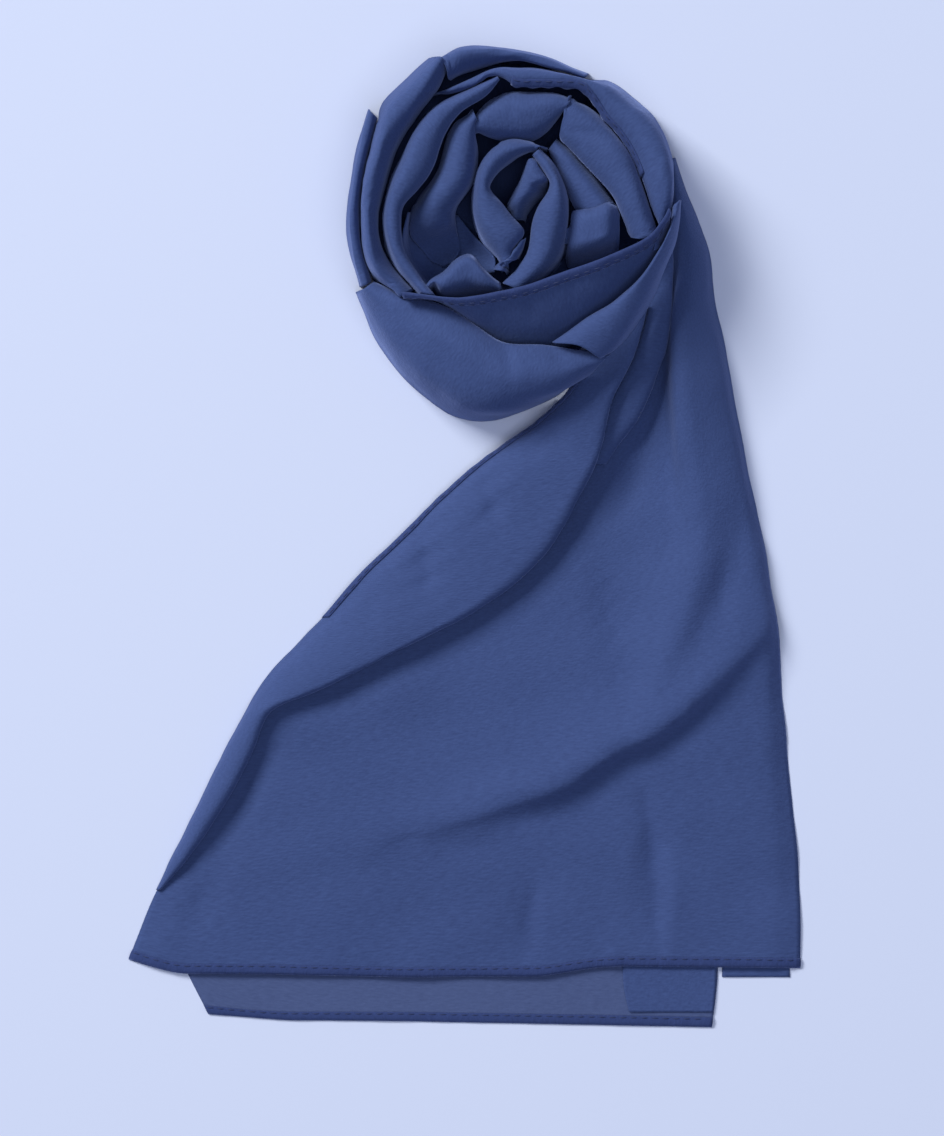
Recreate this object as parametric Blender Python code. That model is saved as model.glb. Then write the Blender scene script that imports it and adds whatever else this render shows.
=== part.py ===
"""A sheer georgette scarf laid on a table: one end wound into a rose, the rest fanned out as a tail.

Units in the tables are millimetres. X runs to the right, Y from the tail's end hem to the rose, Z up.
The origin is on the table, under the middle of the whole scarf.
"""
from typing import NamedTuple

import bmesh
import bpy
import numpy as np
from mathutils import Vector
from mathutils.bvhtree import BVHTree

# Driving sizes
MM = 0.001
PLY = 1.0
SEAM_GAP = 0.35
HEM_WIDTH = 4.5
HEM_PLY = 1.0
HEM_SHARES = (0.02, 0.5, 1.0)
CORE_HEIGHT = 16.0
CORE_CENTRE = (23.0, 156.0)
CORE_RADII = (72.0, 71.0)

# The tables give places as they look from straight above, from this height over this spot
LOOK_HEIGHT = 2000.0
LOOK_SPOT = np.array([4.0, -15.0])

# What a foot keeps to the table, and how much of its drop the next points of the leg follow
FLOOR_GAP = 0.05
SEAT_GAP = 0.7
FOOT_SHARES = (1.0, 0.5, 0.15)
HUNG_ON_OTHERS = ("basin", "front_wrap", "twist")

# Share of the way in and up at which the shoulder of a soft fold stands
SHOULDER_IN = 0.30
SHOULDER_UP = 0.72

COLOURS = {
    "deep": (0.030, 0.045, 0.130, 1.0),
    "mid": (0.045, 0.070, 0.190, 1.0),
    "pale": (0.070, 0.100, 0.260, 1.0),
}


class Cut(NamedTuple):
    """One cut across a wrap: its outer foot, its crest and its inner toe, each x, y, height."""

    foot: tuple
    crest: tuple
    toe: tuple


class BandCut(NamedTuple):
    """One level cut across a folded band of the tail, from its left edge to its turned lip."""

    y: float
    left: float
    left_z: float
    crown_z: float
    lip: float
    lip_z: float


class PanelCut(NamedTuple):
    """One level cut across the tail's wide panel: x and height of each named line."""

    y: float
    left: float
    left_z: float
    valley: float
    valley_z: float
    step: float
    step_z: float
    brow: float
    brow_z: float
    crown: float
    crown_z: float
    edge: float


class Fold(NamedTuple):
    """A soft fold of a panel: route, height, and its reach on the left and right of the route."""

    route: tuple
    rise: float
    left_reach: float
    right_reach: float


# Rose: the wraps from the outside in, a row for each cut
OUTER_WRAP = (
    Cut((-47.5, 214.5, 3), (-46.5, 213.0, 38), (-43.5, 210.0, 24)),
    Cut((-51.5, 202.0, 1), (-49.5, 201.0, 40), (-46.0, 199.5, 24)),
    Cut((-56.0, 183.0, 1), (-53.0, 182.5, 42), (-50.0, 182.0, 24)),
    Cut((-59.0, 160.0, 1), (-55.5, 160.5, 42), (-52.0, 160.5, 24)),
    Cut((-57.0, 144.0, 1), (-54.0, 144.5, 41), (-51.0, 145.0, 24)),
    Cut((-54.0, 133.0, 1), (-51.5, 134.0, 38), (-48.5, 135.5, 24)),
)
SECOND_WRAP = (
    Cut((-17.5, 240.0, 4), (-11.0, 240.5, 46), (-8.5, 236.0, 30)),
    Cut((-29.5, 229.0, 2), (-21.5, 228.0, 49), (-13.0, 225.0, 30)),
    Cut((-39.0, 220.5, 2), (-31.0, 217.5, 51), (-20.5, 215.0, 28)),
    Cut((-44.0, 208.5, 14), (-38.5, 206.0, 52), (-28.5, 203.0, 27)),
    Cut((-47.5, 195.5, 18), (-43.5, 194.0, 52), (-34.5, 191.5, 26)),
    Cut((-50.5, 180.0, 18), (-47.5, 179.0, 52), (-39.5, 177.0, 26)),
    Cut((-52.0, 163.0, 18), (-49.0, 163.0, 52), (-42.5, 162.5, 26)),
    Cut((-51.5, 149.0, 18), (-48.0, 149.0, 51), (-42.0, 149.5, 26)),
    Cut((-48.0, 135.0, 18), (-44.5, 136.0, 49), (-37.5, 138.0, 27)),
    Cut((-41.0, 127.0, 18), (-37.5, 128.5, 46), (-32.0, 131.0, 28)),
)
HEMMED_WRAP = (
    Cut((17.0, 230.0, 26), (18.0, 229.0, 53), (19.5, 225.0, 50)),
    Cut((7.0, 226.5, 24), (8.0, 225.0, 54), (10.5, 220.5, 51)),
    Cut((-4.0, 221.5, 22), (-2.5, 220.0, 55), (1.5, 215.0, 51)),
    Cut((-13.5, 216.5, 20), (-12.0, 214.5, 56), (-5.5, 209.0, 50)),
    Cut((-20.0, 210.5, 18), (-17.0, 208.5, 56), (-9.5, 202.5, 50)),
    Cut((-27.0, 200.0, 18), (-23.5, 198.5, 56), (-12.5, 194.5, 49)),
    Cut((-32.5, 188.5, 18), (-28.5, 187.0, 56), (-15.5, 185.0, 48)),
    Cut((-37.0, 178.5, 18), (-32.5, 177.0, 55), (-21.5, 175.5, 47)),
    Cut((-39.5, 169.0, 18), (-36.5, 167.5, 54), (-30.5, 166.0, 45)),
    Cut((-40.5, 158.0, 18), (-37.0, 158.0, 54), (-31.5, 156.5, 44)),
    Cut((-39.5, 146.5, 18), (-35.5, 147.0, 53), (-30.0, 144.5, 43)),
    Cut((-35.0, 136.0, 18), (-31.0, 137.5, 51), (-26.0, 136.5, 43)),
    Cut((-28.5, 128.5, 22), (-25.5, 130.0, 49), (-20.5, 128.5, 43)),
)
BACK_WRAP = (
    Cut((-9.0, 241.5, 3), (-7.5, 240.0, 44), (-8.5, 228.0, 30)),
    Cut((-1.0, 245.5, 3), (-0.5, 243.5, 46), (-3.5, 231.5, 28)),
    Cut((10.5, 246.0, 3), (11.0, 243.5, 46), (8.0, 235.0, 28)),
    Cut((22.0, 245.0, 3), (22.0, 243.0, 46), (19.5, 237.5, 30)),
    Cut((33.0, 243.0, 3), (32.5, 240.5, 46), (30.5, 238.0, 32)),
    Cut((43.0, 240.0, 3), (42.0, 238.0, 44), (39.5, 236.0, 33)),
    Cut((54.0, 235.0, 3), (53.0, 234.0, 41), (51.0, 233.5, 33)),
)
CROWN_WRAP = (
    Cut((-13.5, 223.0, 22), (-12.0, 222.5, 34), (-10.0, 221.0, 28)),
    Cut((-4.5, 226.0, 22), (-3.5, 225.5, 44), (-2.0, 223.5, 36)),
    Cut((6.0, 230.5, 22), (6.5, 229.5, 49), (8.0, 228.0, 44)),
    Cut((16.0, 235.0, 20), (16.0, 234.0, 52), (16.5, 233.0, 49)),
    Cut((22.0, 234.5, 20), (22.5, 233.0, 53), (23.5, 226.5, 50)),
    Cut((30.0, 235.0, 20), (30.5, 233.5, 53), (31.0, 226.0, 50)),
    Cut((41.0, 234.0, 18), (41.0, 233.0, 53), (41.0, 225.5, 50)),
    Cut((52.0, 231.5, 14), (51.5, 231.0, 53), (50.0, 225.5, 50)),
    Cut((64.0, 229.0, 4), (62.5, 227.5, 52), (58.5, 224.0, 49)),
    Cut((74.0, 227.5, 3), (72.0, 225.0, 51), (65.0, 217.5, 46)),
    Cut((84.0, 220.0, 3), (80.0, 216.5, 51), (69.0, 210.5, 45)),
    Cut((93.0, 213.0, 3), (88.5, 210.0, 51), (76.5, 202.5, 44)),
    Cut((99.0, 203.5, 3), (95.0, 201.0, 51), (82.5, 194.0, 43)),
    Cut((103.5, 191.5, 3), (99.5, 190.0, 51), (87.0, 184.5, 43)),
    Cut((105.0, 180.0, 27), (102.0, 178.5, 51), (91.0, 174.5, 43)),
    Cut((105.0, 169.0, 30), (101.5, 168.0, 49), (94.0, 165.0, 43)),
    Cut((102.5, 159.5, 32), (100.0, 159.5, 46), (97.0, 158.0, 43)),
)
INNER_WRAP_TOP = (
    Cut((5.0, 211.0, 30), (5.5, 207.0, 48), (7.0, 202.5, 40)),
    Cut((11.0, 218.0, 28), (12.5, 213.0, 50), (14.0, 199.5, 38)),
    Cut((21.0, 223.5, 28), (22.0, 217.0, 52), (22.0, 198.0, 36)),
    Cut((35.0, 224.0, 28), (35.0, 218.0, 53), (33.0, 198.0, 36)),
    Cut((46.0, 223.5, 28), (46.0, 218.5, 53), (42.0, 203.5, 38)),
    Cut((54.0, 220.5, 30), (52.5, 217.5, 52), (48.5, 211.0, 42)),
)
INNER_WRAP_LEFT = (
    Cut((2.0, 212.5, 36), (4.0, 208.5, 51), (6.0, 206.0, 44)),
    Cut((-7.0, 206.5, 32), (1.0, 203.5, 52), (7.0, 199.0, 38)),
    Cut((-10.5, 197.0, 30), (-1.5, 194.0, 52), (7.0, 190.0, 34)),
    Cut((-13.0, 186.0, 30), (-3.5, 184.0, 52), (5.5, 180.0, 32)),
    Cut((-19.5, 175.5, 28), (-8.5, 173.5, 51), (-0.5, 169.5, 30)),
    Cut((-26.5, 167.0, 26), (-13.5, 166.0, 47), (-4.0, 164.5, 28)),
    Cut((-29.0, 157.0, 24), (-15.5, 157.0, 40), (-4.0, 157.5, 25)),
    Cut((-29.0, 146.0, 22), (-15.5, 148.0, 30), (-4.0, 150.0, 23)),
)
BASIN = (
    Cut((-28.0, 163.0, 36), (-16.0, 161.0, 18), (-3.0, 161.0, 18)),
    Cut((-31.0, 150.0, 39), (-17.0, 149.0, 17.5), (7.0, 149.0, 24)),
    Cut((-29.0, 138.0, 39), (-12.0, 138.0, 17.5), (15.0, 141.0, 27)),
    Cut((-20.0, 125.0, 40), (-6.0, 129.0, 18), (15.5, 133.0, 27)),
)
LOWER_PETAL = (
    Cut((-20.0, 121.5, 38), (-19.5, 126.5, 45), (-20.0, 128.5, 38)),
    Cut((-10.0, 121.0, 36), (-10.0, 130.0, 48), (-10.5, 133.0, 34)),
    Cut((-2.0, 120.5, 36), (-3.0, 137.0, 49), (-3.5, 140.0, 34)),
    Cut((4.0, 121.0, 36), (3.0, 139.0, 49), (3.5, 142.0, 34)),
    Cut((11.0, 122.0, 36), (9.0, 133.0, 49), (9.0, 135.5, 36)),
    Cut((17.0, 122.5, 36), (16.0, 127.0, 46), (16.0, 129.0, 38)),
)
BUD_RING = (
    Cut((40.5, 195.5, 36), (35.5, 196.0, 50), (33.5, 193.0, 42)),
    Cut((29.0, 200.0, 32), (26.5, 195.5, 53), (27.5, 190.5, 40)),
    Cut((19.5, 199.5, 30), (18.5, 193.5, 54), (21.5, 186.0, 40)),
    Cut((10.5, 191.5, 28), (13.0, 187.5, 55), (16.5, 182.0, 40)),
    Cut((5.5, 180.5, 27), (9.0, 178.5, 55), (12.5, 175.0, 43)),
    Cut((4.0, 168.5, 26), (8.5, 167.5, 54), (18.5, 167.5, 46)),
    Cut((5.0, 158.0, 27), (11.0, 158.0, 53), (25.0, 159.5, 46)),
    Cut((8.5, 149.0, 29), (16.0, 151.0, 52), (30.0, 154.0, 46)),
    Cut((14.0, 142.5, 31), (19.5, 145.5, 50), (28.5, 149.5, 45)),
    Cut((17.5, 138.5, 33), (20.5, 141.5, 48), (25.0, 145.0, 43)),
)
BUD_RIGHT = (
    Cut((39.5, 193.5, 38), (37.5, 192.0, 50), (35.5, 190.0, 45)),
    Cut((45.5, 187.0, 34), (42.5, 185.5, 53), (39.5, 183.5, 45)),
    Cut((50.0, 177.5, 32), (47.0, 176.5, 55), (43.5, 175.5, 47)),
    Cut((52.5, 167.0, 30), (46.0, 167.5, 56), (38.5, 168.0, 47)),
    Cut((52.5, 156.0, 30), (44.5, 156.0, 55), (34.0, 156.0, 46)),
    Cut((50.5, 144.5, 32), (41.5, 145.0, 53), (31.0, 146.0, 45)),
    Cut((44.5, 135.0, 34), (36.0, 136.5, 51), (26.5, 138.5, 44)),
    Cut((36.0, 128.5, 36), (29.5, 130.0, 49), (22.0, 131.0, 43)),
)
BUD_FOLD = (
    Cut((35.0, 190.0, 46), (33.5, 190.0, 50), (32.0, 188.5, 44)),
    Cut((39.5, 182.5, 46), (34.5, 183.5, 51), (28.5, 179.5, 39)),
    Cut((42.5, 175.5, 44), (36.0, 175.5, 50), (24.0, 171.0, 37)),
    Cut((37.0, 170.5, 40), (32.0, 169.0, 45), (21.5, 165.5, 34)),
    Cut((32.0, 163.0, 36), (28.5, 163.0, 40), (23.5, 162.5, 32)),
)
BUD_LOWER = (
    Cut((31.0, 150.5, 38), (29.5, 149.0, 47), (27.0, 146.5, 38)),
    Cut((29.0, 144.0, 37), (25.0, 143.5, 48), (21.5, 141.0, 36)),
    Cut((24.5, 137.0, 37), (20.0, 137.0, 48), (16.5, 136.5, 36)),
    Cut((22.0, 134.0, 38), (19.0, 134.5, 47), (15.5, 135.0, 38)),
)
RIGHT_PETAL = (
    Cut((55.5, 220.5, 32), (52.0, 217.0, 51), (44.0, 203.5, 44)),
    Cut((68.5, 211.5, 30), (64.0, 208.0, 52), (53.0, 194.5, 44)),
    Cut((78.5, 200.0, 28), (74.0, 197.5, 52), (62.0, 185.0, 44)),
    Cut((85.0, 189.0, 28), (80.5, 186.5, 52), (69.5, 176.5, 44)),
    Cut((89.5, 177.5, 28), (85.0, 175.5, 52), (75.0, 169.5, 43)),
    Cut((93.5, 165.0, 28), (88.5, 164.0, 51), (78.5, 161.0, 41)),
    Cut((96.5, 155.5, 30), (92.0, 154.5, 49), (82.5, 151.0, 40)),
)
INNER_PETAL = (
    Cut((46.0, 203.0, 34), (43.5, 200.5, 40), (41.0, 197.5, 34)),
    Cut((56.5, 192.5, 34), (52.5, 190.0, 42), (46.0, 186.0, 33)),
    Cut((66.5, 182.0, 34), (60.5, 178.5, 43), (51.0, 174.0, 33)),
    Cut((74.5, 171.5, 34), (68.5, 169.5, 43), (55.0, 165.5, 35)),
)
CHEEK_PETAL = (
    Cut((49.5, 135.0, 36), (52.5, 161.0, 43), (52.0, 163.5, 34)),
    Cut((56.5, 137.0, 40), (58.0, 162.0, 48), (58.0, 164.5, 36)),
    Cut((64.5, 139.0, 42), (65.0, 162.5, 50), (65.0, 165.5, 37)),
    Cut((71.0, 141.0, 42), (71.5, 165.0, 51), (71.0, 168.0, 38)),
    Cut((75.5, 142.5, 32), (76.0, 163.0, 46), (75.5, 166.5, 34)),
)
FRONT_WRAP = (
    Cut((-26.5, 119.5, 38), (-27.0, 120.5, 46), (-28.0, 122.5, 51)),
    Cut((-13.0, 118.0, 34), (-12.5, 119.0, 46), (-12.5, 120.0, 54)),
    Cut((9.0, 102.0, 30), (8.0, 110.0, 44), (8.0, 121.5, 57)),
    Cut((33.0, 94.0, 28), (33.0, 109.0, 44), (33.0, 127.0, 58)),
    Cut((64.0, 105.0, 28), (61.0, 118.0, 45), (58.0, 135.5, 58)),
    Cut((84.0, 121.0, 30), (80.0, 132.0, 46), (78.0, 143.5, 57)),
    Cut((95.5, 135.0, 32), (94.0, 142.5, 46), (93.0, 151.0, 55)),
    Cut((102.5, 153.0, 36), (101.5, 157.0, 46), (101.0, 162.0, 53)),
)
FRONT_BAND = (
    Cut((-54.0, 123.0, 1), (-48.5, 125.5, 36), (-45.0, 128.0, 28)),
    Cut((-43.5, 98.0, 1), (-35.0, 118.0, 42), (-30.5, 122.0, 36)),
    Cut((-30.0, 80.0, 1), (-20.0, 104.0, 45), (-13.0, 117.5, 38)),
    Cut((-16.0, 68.0, 1), (-4.0, 94.0, 47), (3.0, 108.5, 39)),
    Cut((-1.0, 59.5, 1), (15.0, 82.0, 47), (19.5, 97.5, 40)),
    Cut((17.5, 59.5, 2), (33.0, 80.0, 46), (40.5, 96.5, 40)),
    Cut((42.0, 69.5, 12), (54.0, 83.0, 43), (58.0, 94.0, 37)),
    Cut((64.0, 82.0, 24), (70.0, 88.5, 38), (73.5, 92.5, 33)),
)
TWIST = (
    Cut((70.5, 88.0, 32), (58.0, 96.0, 46), (44.0, 98.0, 42)),
    Cut((82.0, 101.0, 31), (71.0, 106.5, 49), (61.0, 110.0, 44)),
    Cut((92.0, 116.0, 29), (83.0, 121.0, 51), (74.0, 117.0, 45)),
    Cut((99.5, 133.0, 27), (92.5, 134.0, 52), (86.0, 128.0, 46)),
    Cut((105.5, 147.0, 26), (100.0, 147.0, 52), (95.0, 140.0, 46)),
    Cut((108.0, 158.0, 25), (104.5, 157.5, 51), (101.5, 152.5, 47)),
    Cut((108.5, 166.0, 27), (107.0, 165.5, 49), (105.0, 162.5, 46)),
)

# Tail: level cuts from the neck to the end hem
TAIL_BAND = (
    BandCut(117.0, 82.0, 24.0, 26.0, 92.5, 25.0),
    BandCut(104.0, 72.0, 23.0, 26.0, 89.5, 26.0),
    BandCut(91.0, 63.0, 22.0, 25.0, 85.5, 26.0),
    BandCut(69.0, 49.0, 15.0, 24.0, 74.0, 25.0),
    BandCut(54.0, 31.0, 9.0, 22.0, 70.5, 23.0),
    BandCut(37.5, 8.0, 5.0, 20.0, 66.5, 21.0),
    BandCut(20.5, -12.0, 4.0, 19.0, 58.0, 20.0),
    BandCut(0.5, -32.0, 3.0, 18.0, 46.5, 19.0),
    BandCut(-18.5, -52.0, 3.0, 17.0, 30.5, 18.0),
    BandCut(-36.0, -67.0, 2.0, 16.0, 7.0, 17.0),
    BandCut(-51.0, -82.0, 1.0, 15.0, -22.0, 16.0),
    BandCut(-67.0, -97.0, 0.6, 14.0, -53.5, 15.0),
    BandCut(-77.0, -103.5, 0.6, 13.0, -75.0, 14.0),
    BandCut(-86.0, -108.5, 0.6, 13.0, -96.0, 14.0),
    BandCut(-101.0, -117.0, 0.6, 12.0, -103.0, 12.5),
    BandCut(-121.0, -127.0, 0.6, 11.0, -113.0, 11.5),
    BandCut(-141.0, -137.0, 0.6, 10.0, -125.0, 10.0),
    BandCut(-156.0, -144.5, 0.8, 8.0, -135.0, 8.0),
    BandCut(-168.0, -150.5, 0.8, 6.0, -144.0, 6.0),
    BandCut(-178.0, -154.5, 1.0, 4.5, -150.5, 4.0),
)
NARROW_FOLD = (
    BandCut(122.0, 93.0, 19.0, 21.0, 104.0, 20.0),
    BandCut(99.0, 88.0, 16.0, 20.0, 102.0, 19.0),
    BandCut(79.0, 78.0, 14.0, 18.0, 95.5, 17.0),
    BandCut(61.5, 70.0, 13.0, 16.0, 88.0, 15.0),
    BandCut(49.0, 66.0, 13.0, 15.0, 79.0, 14.0),
    BandCut(37.0, 62.0, 12.5, 13.5, 71.0, 13.0),
)
TAIL_PANEL = (
    PanelCut(172.0, 101.0, 9, 102.5, 10, 104.0, 11, 106.0, 12, 108.0, 11, 111.5),
    PanelCut(163.0, 100.0, 12, 102.5, 13, 105.0, 14, 107.5, 15, 110.5, 14, 115.5),
    PanelCut(138.0, 96.0, 14, 100.0, 13, 104.5, 14, 108.5, 17, 114.0, 17, 123.5),
    PanelCut(119.0, 93.0, 13, 98.0, 12, 102.5, 13, 106.0, 19, 113.0, 20, 125.0),
    PanelCut(96.5, 84.0, 10, 94.0, 9, 101.0, 10, 104.5, 19, 112.0, 21, 130.0),
    PanelCut(76.5, 70.5, 9, 90.5, 7, 101.0, 8, 105.0, 18, 114.0, 21, 134.0),
    PanelCut(59.0, 60.5, 8, 85.5, 6, 101.5, 8, 106.5, 17, 115.5, 20, 137.0),
    PanelCut(34.0, 42.0, 8, 78.0, 6, 103.0, 8, 109.5, 15, 118.0, 18, 142.0),
    PanelCut(9.0, 15.5, 7, 68.0, 7, 103.5, 10, 112.0, 14, 120.5, 16, 147.5),
    PanelCut(-16.0, -17.0, 7, 55.5, 8, 96.0, 11, 112.0, 14, 124.0, 14, 152.0),
    PanelCut(-41.0, -49.5, 7, 28.0, 7, 82.0, 10, 106.0, 12, 129.0, 12, 156.0),
    PanelCut(-66.0, -82.0, 6, -8.0, 7, 60.0, 9, 94.0, 10, 127.0, 11, 158.5),
    PanelCut(-91.0, -104.0, 6, -32.0, 6, 38.0, 8, 80.0, 8, 124.0, 9, 160.0),
    PanelCut(-121.0, -119.0, 4, -47.0, 6, 18.0, 7, 70.0, 7, 121.0, 7, 163.0),
    PanelCut(-146.0, -132.0, 3, -57.0, 6, 8.0, 6.5, 65.0, 6, 120.0, 6.5, 165.5),
    PanelCut(-171.0, -148.0, 2.6, -66.0, 5, 3.0, 5.5, 63.0, 5, 121.0, 5, 167.5),
    PanelCut(-191.0, -159.5, 2.6, -71.0, 4, 0.5, 4.5, 62.0, 4, 122.0, 4, 168.0),
    PanelCut(-214.0, -167.5, 2.4, -74.0, 3, 0.0, 3.0, 62.0, 3, 122.0, 3, 168.0),
)
# The end hem dips below the last cut: x, dip
END_HEM_DIP = ((-168, -4), (-146, 3), (-102, 3.5), (-32, 5), (38, 4.5), (72, -0.5), (120, 0), (168, 0.5))

UNDER_PANEL_SIDES = (
    # y, left x, right x
    (45.0, 52.0, 122.0),
    (-10.0, -8.0, 122.0),
    (-60.0, -62.0, 122.0),
    (-120.0, -112.0, 122.0),
    (-170.0, -128.0, 124.0),
    (-198.0, -138.0, 126.0),
    (-215.0, -146.0, 127.0),
    (-243.5, -128.0, 124.0),
)
# The under layer's end hem rises towards its left corner: x, dip
UNDER_HEM_DIP = ((-146, -24), (-136, -9), (-123, -4), (-107, -4.5), (-90, -3), (-32, -2.5), (48, -1), (124, 0.5))
TURNED_EDGE_SIDES = (
    # y, left x, right x
    (-70.0, 138.0, 152.0),
    (-150.0, 131.0, 160.0),
    (-219.5, 129.0, 163.0),
)

TAIL_FOLDS = (
    # The long diagonal fold from the right edge towards the middle
    Fold(((158, -36), (140, -56), (120, -76), (97, -95), (70, -108), (50, -122), (14, -134), (-25, -148)),
         6.5, 8.0, 26.0),
    # The broad soft ridge that runs down the middle
    Fold(((116, -10), (104, -45), (90, -75)), 3.0, 16.0, 14.0),
    # Two soft valleys beside that ridge
    Fold(((71, -10), (75, -40), (79, -68)), -3.0, 9.0, 9.0),
    Fold(((136, 8), (132, -20), (121, -48)), -3.0, 7.0, 8.0),
    # Upright folds over the end hem
    Fold(((92, -120), (95, -150), (96, -205)), -2.0, 6.0, 6.0),
    Fold(((36, -170), (33, -206)), -1.6, 7.0, 7.0),
    Fold(((-128, -160), (-136, -200)), -1.5, 9.0, 9.0),
)
BAND_FOLDS = (
    # Pulled creases that cross the band
    Fold(((36, 56), (44, 48)), -1.6, 5.0, 5.0),
    Fold(((9, 31), (16, 8)), -2.0, 6.0, 6.0),
    Fold(((-20, 10), (-18, -30)), -2.2, 7.0, 7.0),
)


def smooth_rows(rows, count):
    """Return count rows spaced evenly along a smooth curve through the table's rows."""
    rows = np.asarray(rows, dtype=float)
    steps = np.linalg.norm(np.diff(rows, axis=0), axis=1)
    knots = np.concatenate([[0.0], np.cumsum(np.maximum(steps, 1e-6))])
    slopes = np.empty_like(rows)
    slopes[1:-1] = (rows[2:] - rows[:-2]) / (knots[2:] - knots[:-2])[:, None]
    slopes[0] = (rows[1] - rows[0]) / (knots[1] - knots[0])
    slopes[-1] = (rows[-1] - rows[-2]) / (knots[-1] - knots[-2])
    at = np.linspace(0.0, knots[-1], count)
    span = np.clip(np.searchsorted(knots, at, side="right") - 1, 0, len(rows) - 2)
    width = (knots[span + 1] - knots[span])[:, None]
    share = (at[:, None] - knots[span][:, None]) / width
    start, end = rows[span], rows[span + 1]
    rise_in, rise_out = slopes[span] * width, slopes[span + 1] * width
    return ((2 * share**3 - 3 * share**2 + 1) * start + (share**3 - 2 * share**2 + share) * rise_in
            + (3 * share**2 - 2 * share**3) * end + (share**3 - share**2) * rise_out)


def shoulder(low, high):
    """Return the shoulder of a soft fold between its low end and its crest."""
    low, high = np.asarray(low), np.asarray(high)
    return np.array([
        low[0] + (high[0] - low[0]) * SHOULDER_IN,
        low[1] + (high[1] - low[1]) * SHOULDER_IN,
        low[2] + (high[2] - low[2]) * SHOULDER_UP,
    ])


def wrap_grid(cuts, along, across, soft=True):
    """Return the middle surface of a wrap, a smooth arch through each cut."""
    rows = smooth_rows([np.concatenate([cut.foot, cut.crest, cut.toe]) for cut in cuts], along)
    grid = []
    for row in rows:
        foot, crest, toe = row[0:3], row[3:6], row[6:9]
        arch = [foot, shoulder(foot, crest), crest, shoulder(toe, crest), toe] if soft else [foot, crest, toe]
        grid.append(smooth_rows(arch, across))
    return np.array(grid)


def band_grid(cuts, along, across, folds=()):
    """Return the middle surface of a tail band whose right edge turns under in a round lip."""
    rows = smooth_rows(cuts, along)
    grid = []
    for y, left, left_z, crown_z, lip, lip_z in rows:
        width = lip - left
        turn = min(2.6, width * 0.22)
        arch = [
            (left, y, left_z),
            (left + width * 0.16, y, left_z + (crown_z - left_z) * 0.62),
            (left + width * 0.50, y, crown_z),
            (lip - turn, y, lip_z),
            (lip, y, lip_z - turn),
            (lip - turn, y, lip_z - 2 * turn),
            (lip - turn * 2.2, y, lip_z - 2 * turn),
        ]
        grid.append(smooth_rows(arch, across))
    return add_folds(np.array(grid), folds)


def panel_grid(cuts, along, across, folds=()):
    """Return the middle surface of the wide panel, with its two edges turned down to the table."""
    rows = smooth_rows(cuts, along)
    grid = []
    for row in rows:
        cut = PanelCut(*row)
        tuck = min(5.0, (cut.edge - cut.crown) * 0.35)
        line = [
            (cut.left, cut.y, PLY * 0.5 + 0.02 if cut.y < -160.0 else cut.left_z),
            (cut.left + tuck, cut.y, cut.left_z),
            (cut.valley, cut.y, cut.valley_z),
            (cut.step, cut.y, cut.step_z),
            (cut.brow, cut.y, cut.brow_z),
            (cut.crown, cut.y, cut.crown_z),
            (cut.edge - tuck, cut.y, cut.crown_z * 0.55 + 1.0),
            (cut.edge, cut.y, PLY * 0.5 + 0.02),
        ]
        grid.append(smooth_rows(line, across))
    grid = add_folds(np.array(grid), folds)
    return dip_end(grid, END_HEM_DIP, 3)


def flat_grid(sides, along, across, height):
    """Return a flat sheet between the left and right sides that a table gives."""
    rows = smooth_rows(sides, along)
    share = np.linspace(0.0, 1.0, across)
    return np.array([[(left + (right - left) * s, y, height) for s in share] for y, left, right in rows])


def dip_end(grid, dips, reach):
    """Move the last rows of a grid along Y so that its end follows the dip table."""
    dips = np.asarray(dips, dtype=float)
    for back in range(reach):
        share = 1.0 - back / reach
        row = grid[-1 - back]
        row[:, 1] -= np.interp(row[:, 0], dips[:, 0], dips[:, 1]) * share
    return grid


def add_folds(grid, folds):
    """Raise or lower a grid along each fold's route, fading at the route's ends."""
    for fold in folds:
        route = smooth_rows(fold.route, 24)
        heading = np.gradient(route, axis=0)
        heading /= np.linalg.norm(heading, axis=1)[:, None]
        offset = grid[:, :, None, :2] - route[None, None]
        nearest = np.argmin(np.sum(offset**2, axis=3), axis=2)
        near = np.take_along_axis(offset, nearest[:, :, None, None], axis=2)[:, :, 0]
        along = heading[nearest]
        side = along[..., 0] * near[..., 1] - along[..., 1] * near[..., 0]
        distance = np.linalg.norm(near, axis=2)
        reach = np.where(side > 0, fold.left_reach, fold.right_reach)
        fade = np.sin(np.pi * np.clip(nearest / 23.0 * 0.8 + 0.1, 0.0, 1.0))
        grid[:, :, 2] += fold.rise * np.exp(-((distance / reach) ** 2)) * fade
    return grid


def true_place(grid):
    """Turn places as they look from above into real ones: high points lie a little further in."""
    share = (LOOK_HEIGHT - grid[..., 2:3]) / LOOK_HEIGHT
    grid = grid.copy()
    grid[..., :2] = LOOK_SPOT + (grid[..., :2] - LOOK_SPOT) * share
    return grid


def grid_normals(grid):
    """Return unit normals of a grid, pointing to the cloth's upper or outer side."""
    along = np.gradient(grid, axis=0)
    across = np.gradient(grid, axis=1)
    normals = np.cross(across, along)
    normals /= np.maximum(np.linalg.norm(normals, axis=2), 1e-9)[..., None]
    return normals


def finer(grid):
    """Return the grid with a row and a column of midpoints between each two."""
    rows = np.empty((2 * grid.shape[0] - 1, grid.shape[1], 3))
    rows[::2] = grid
    rows[1::2] = (grid[1:] + grid[:-1]) * 0.5
    points = np.empty((rows.shape[0], 2 * grid.shape[1] - 1, 3))
    points[:, ::2] = rows
    points[:, 1::2] = (rows[:, 1:] + rows[:, :-1]) * 0.5
    return points


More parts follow.
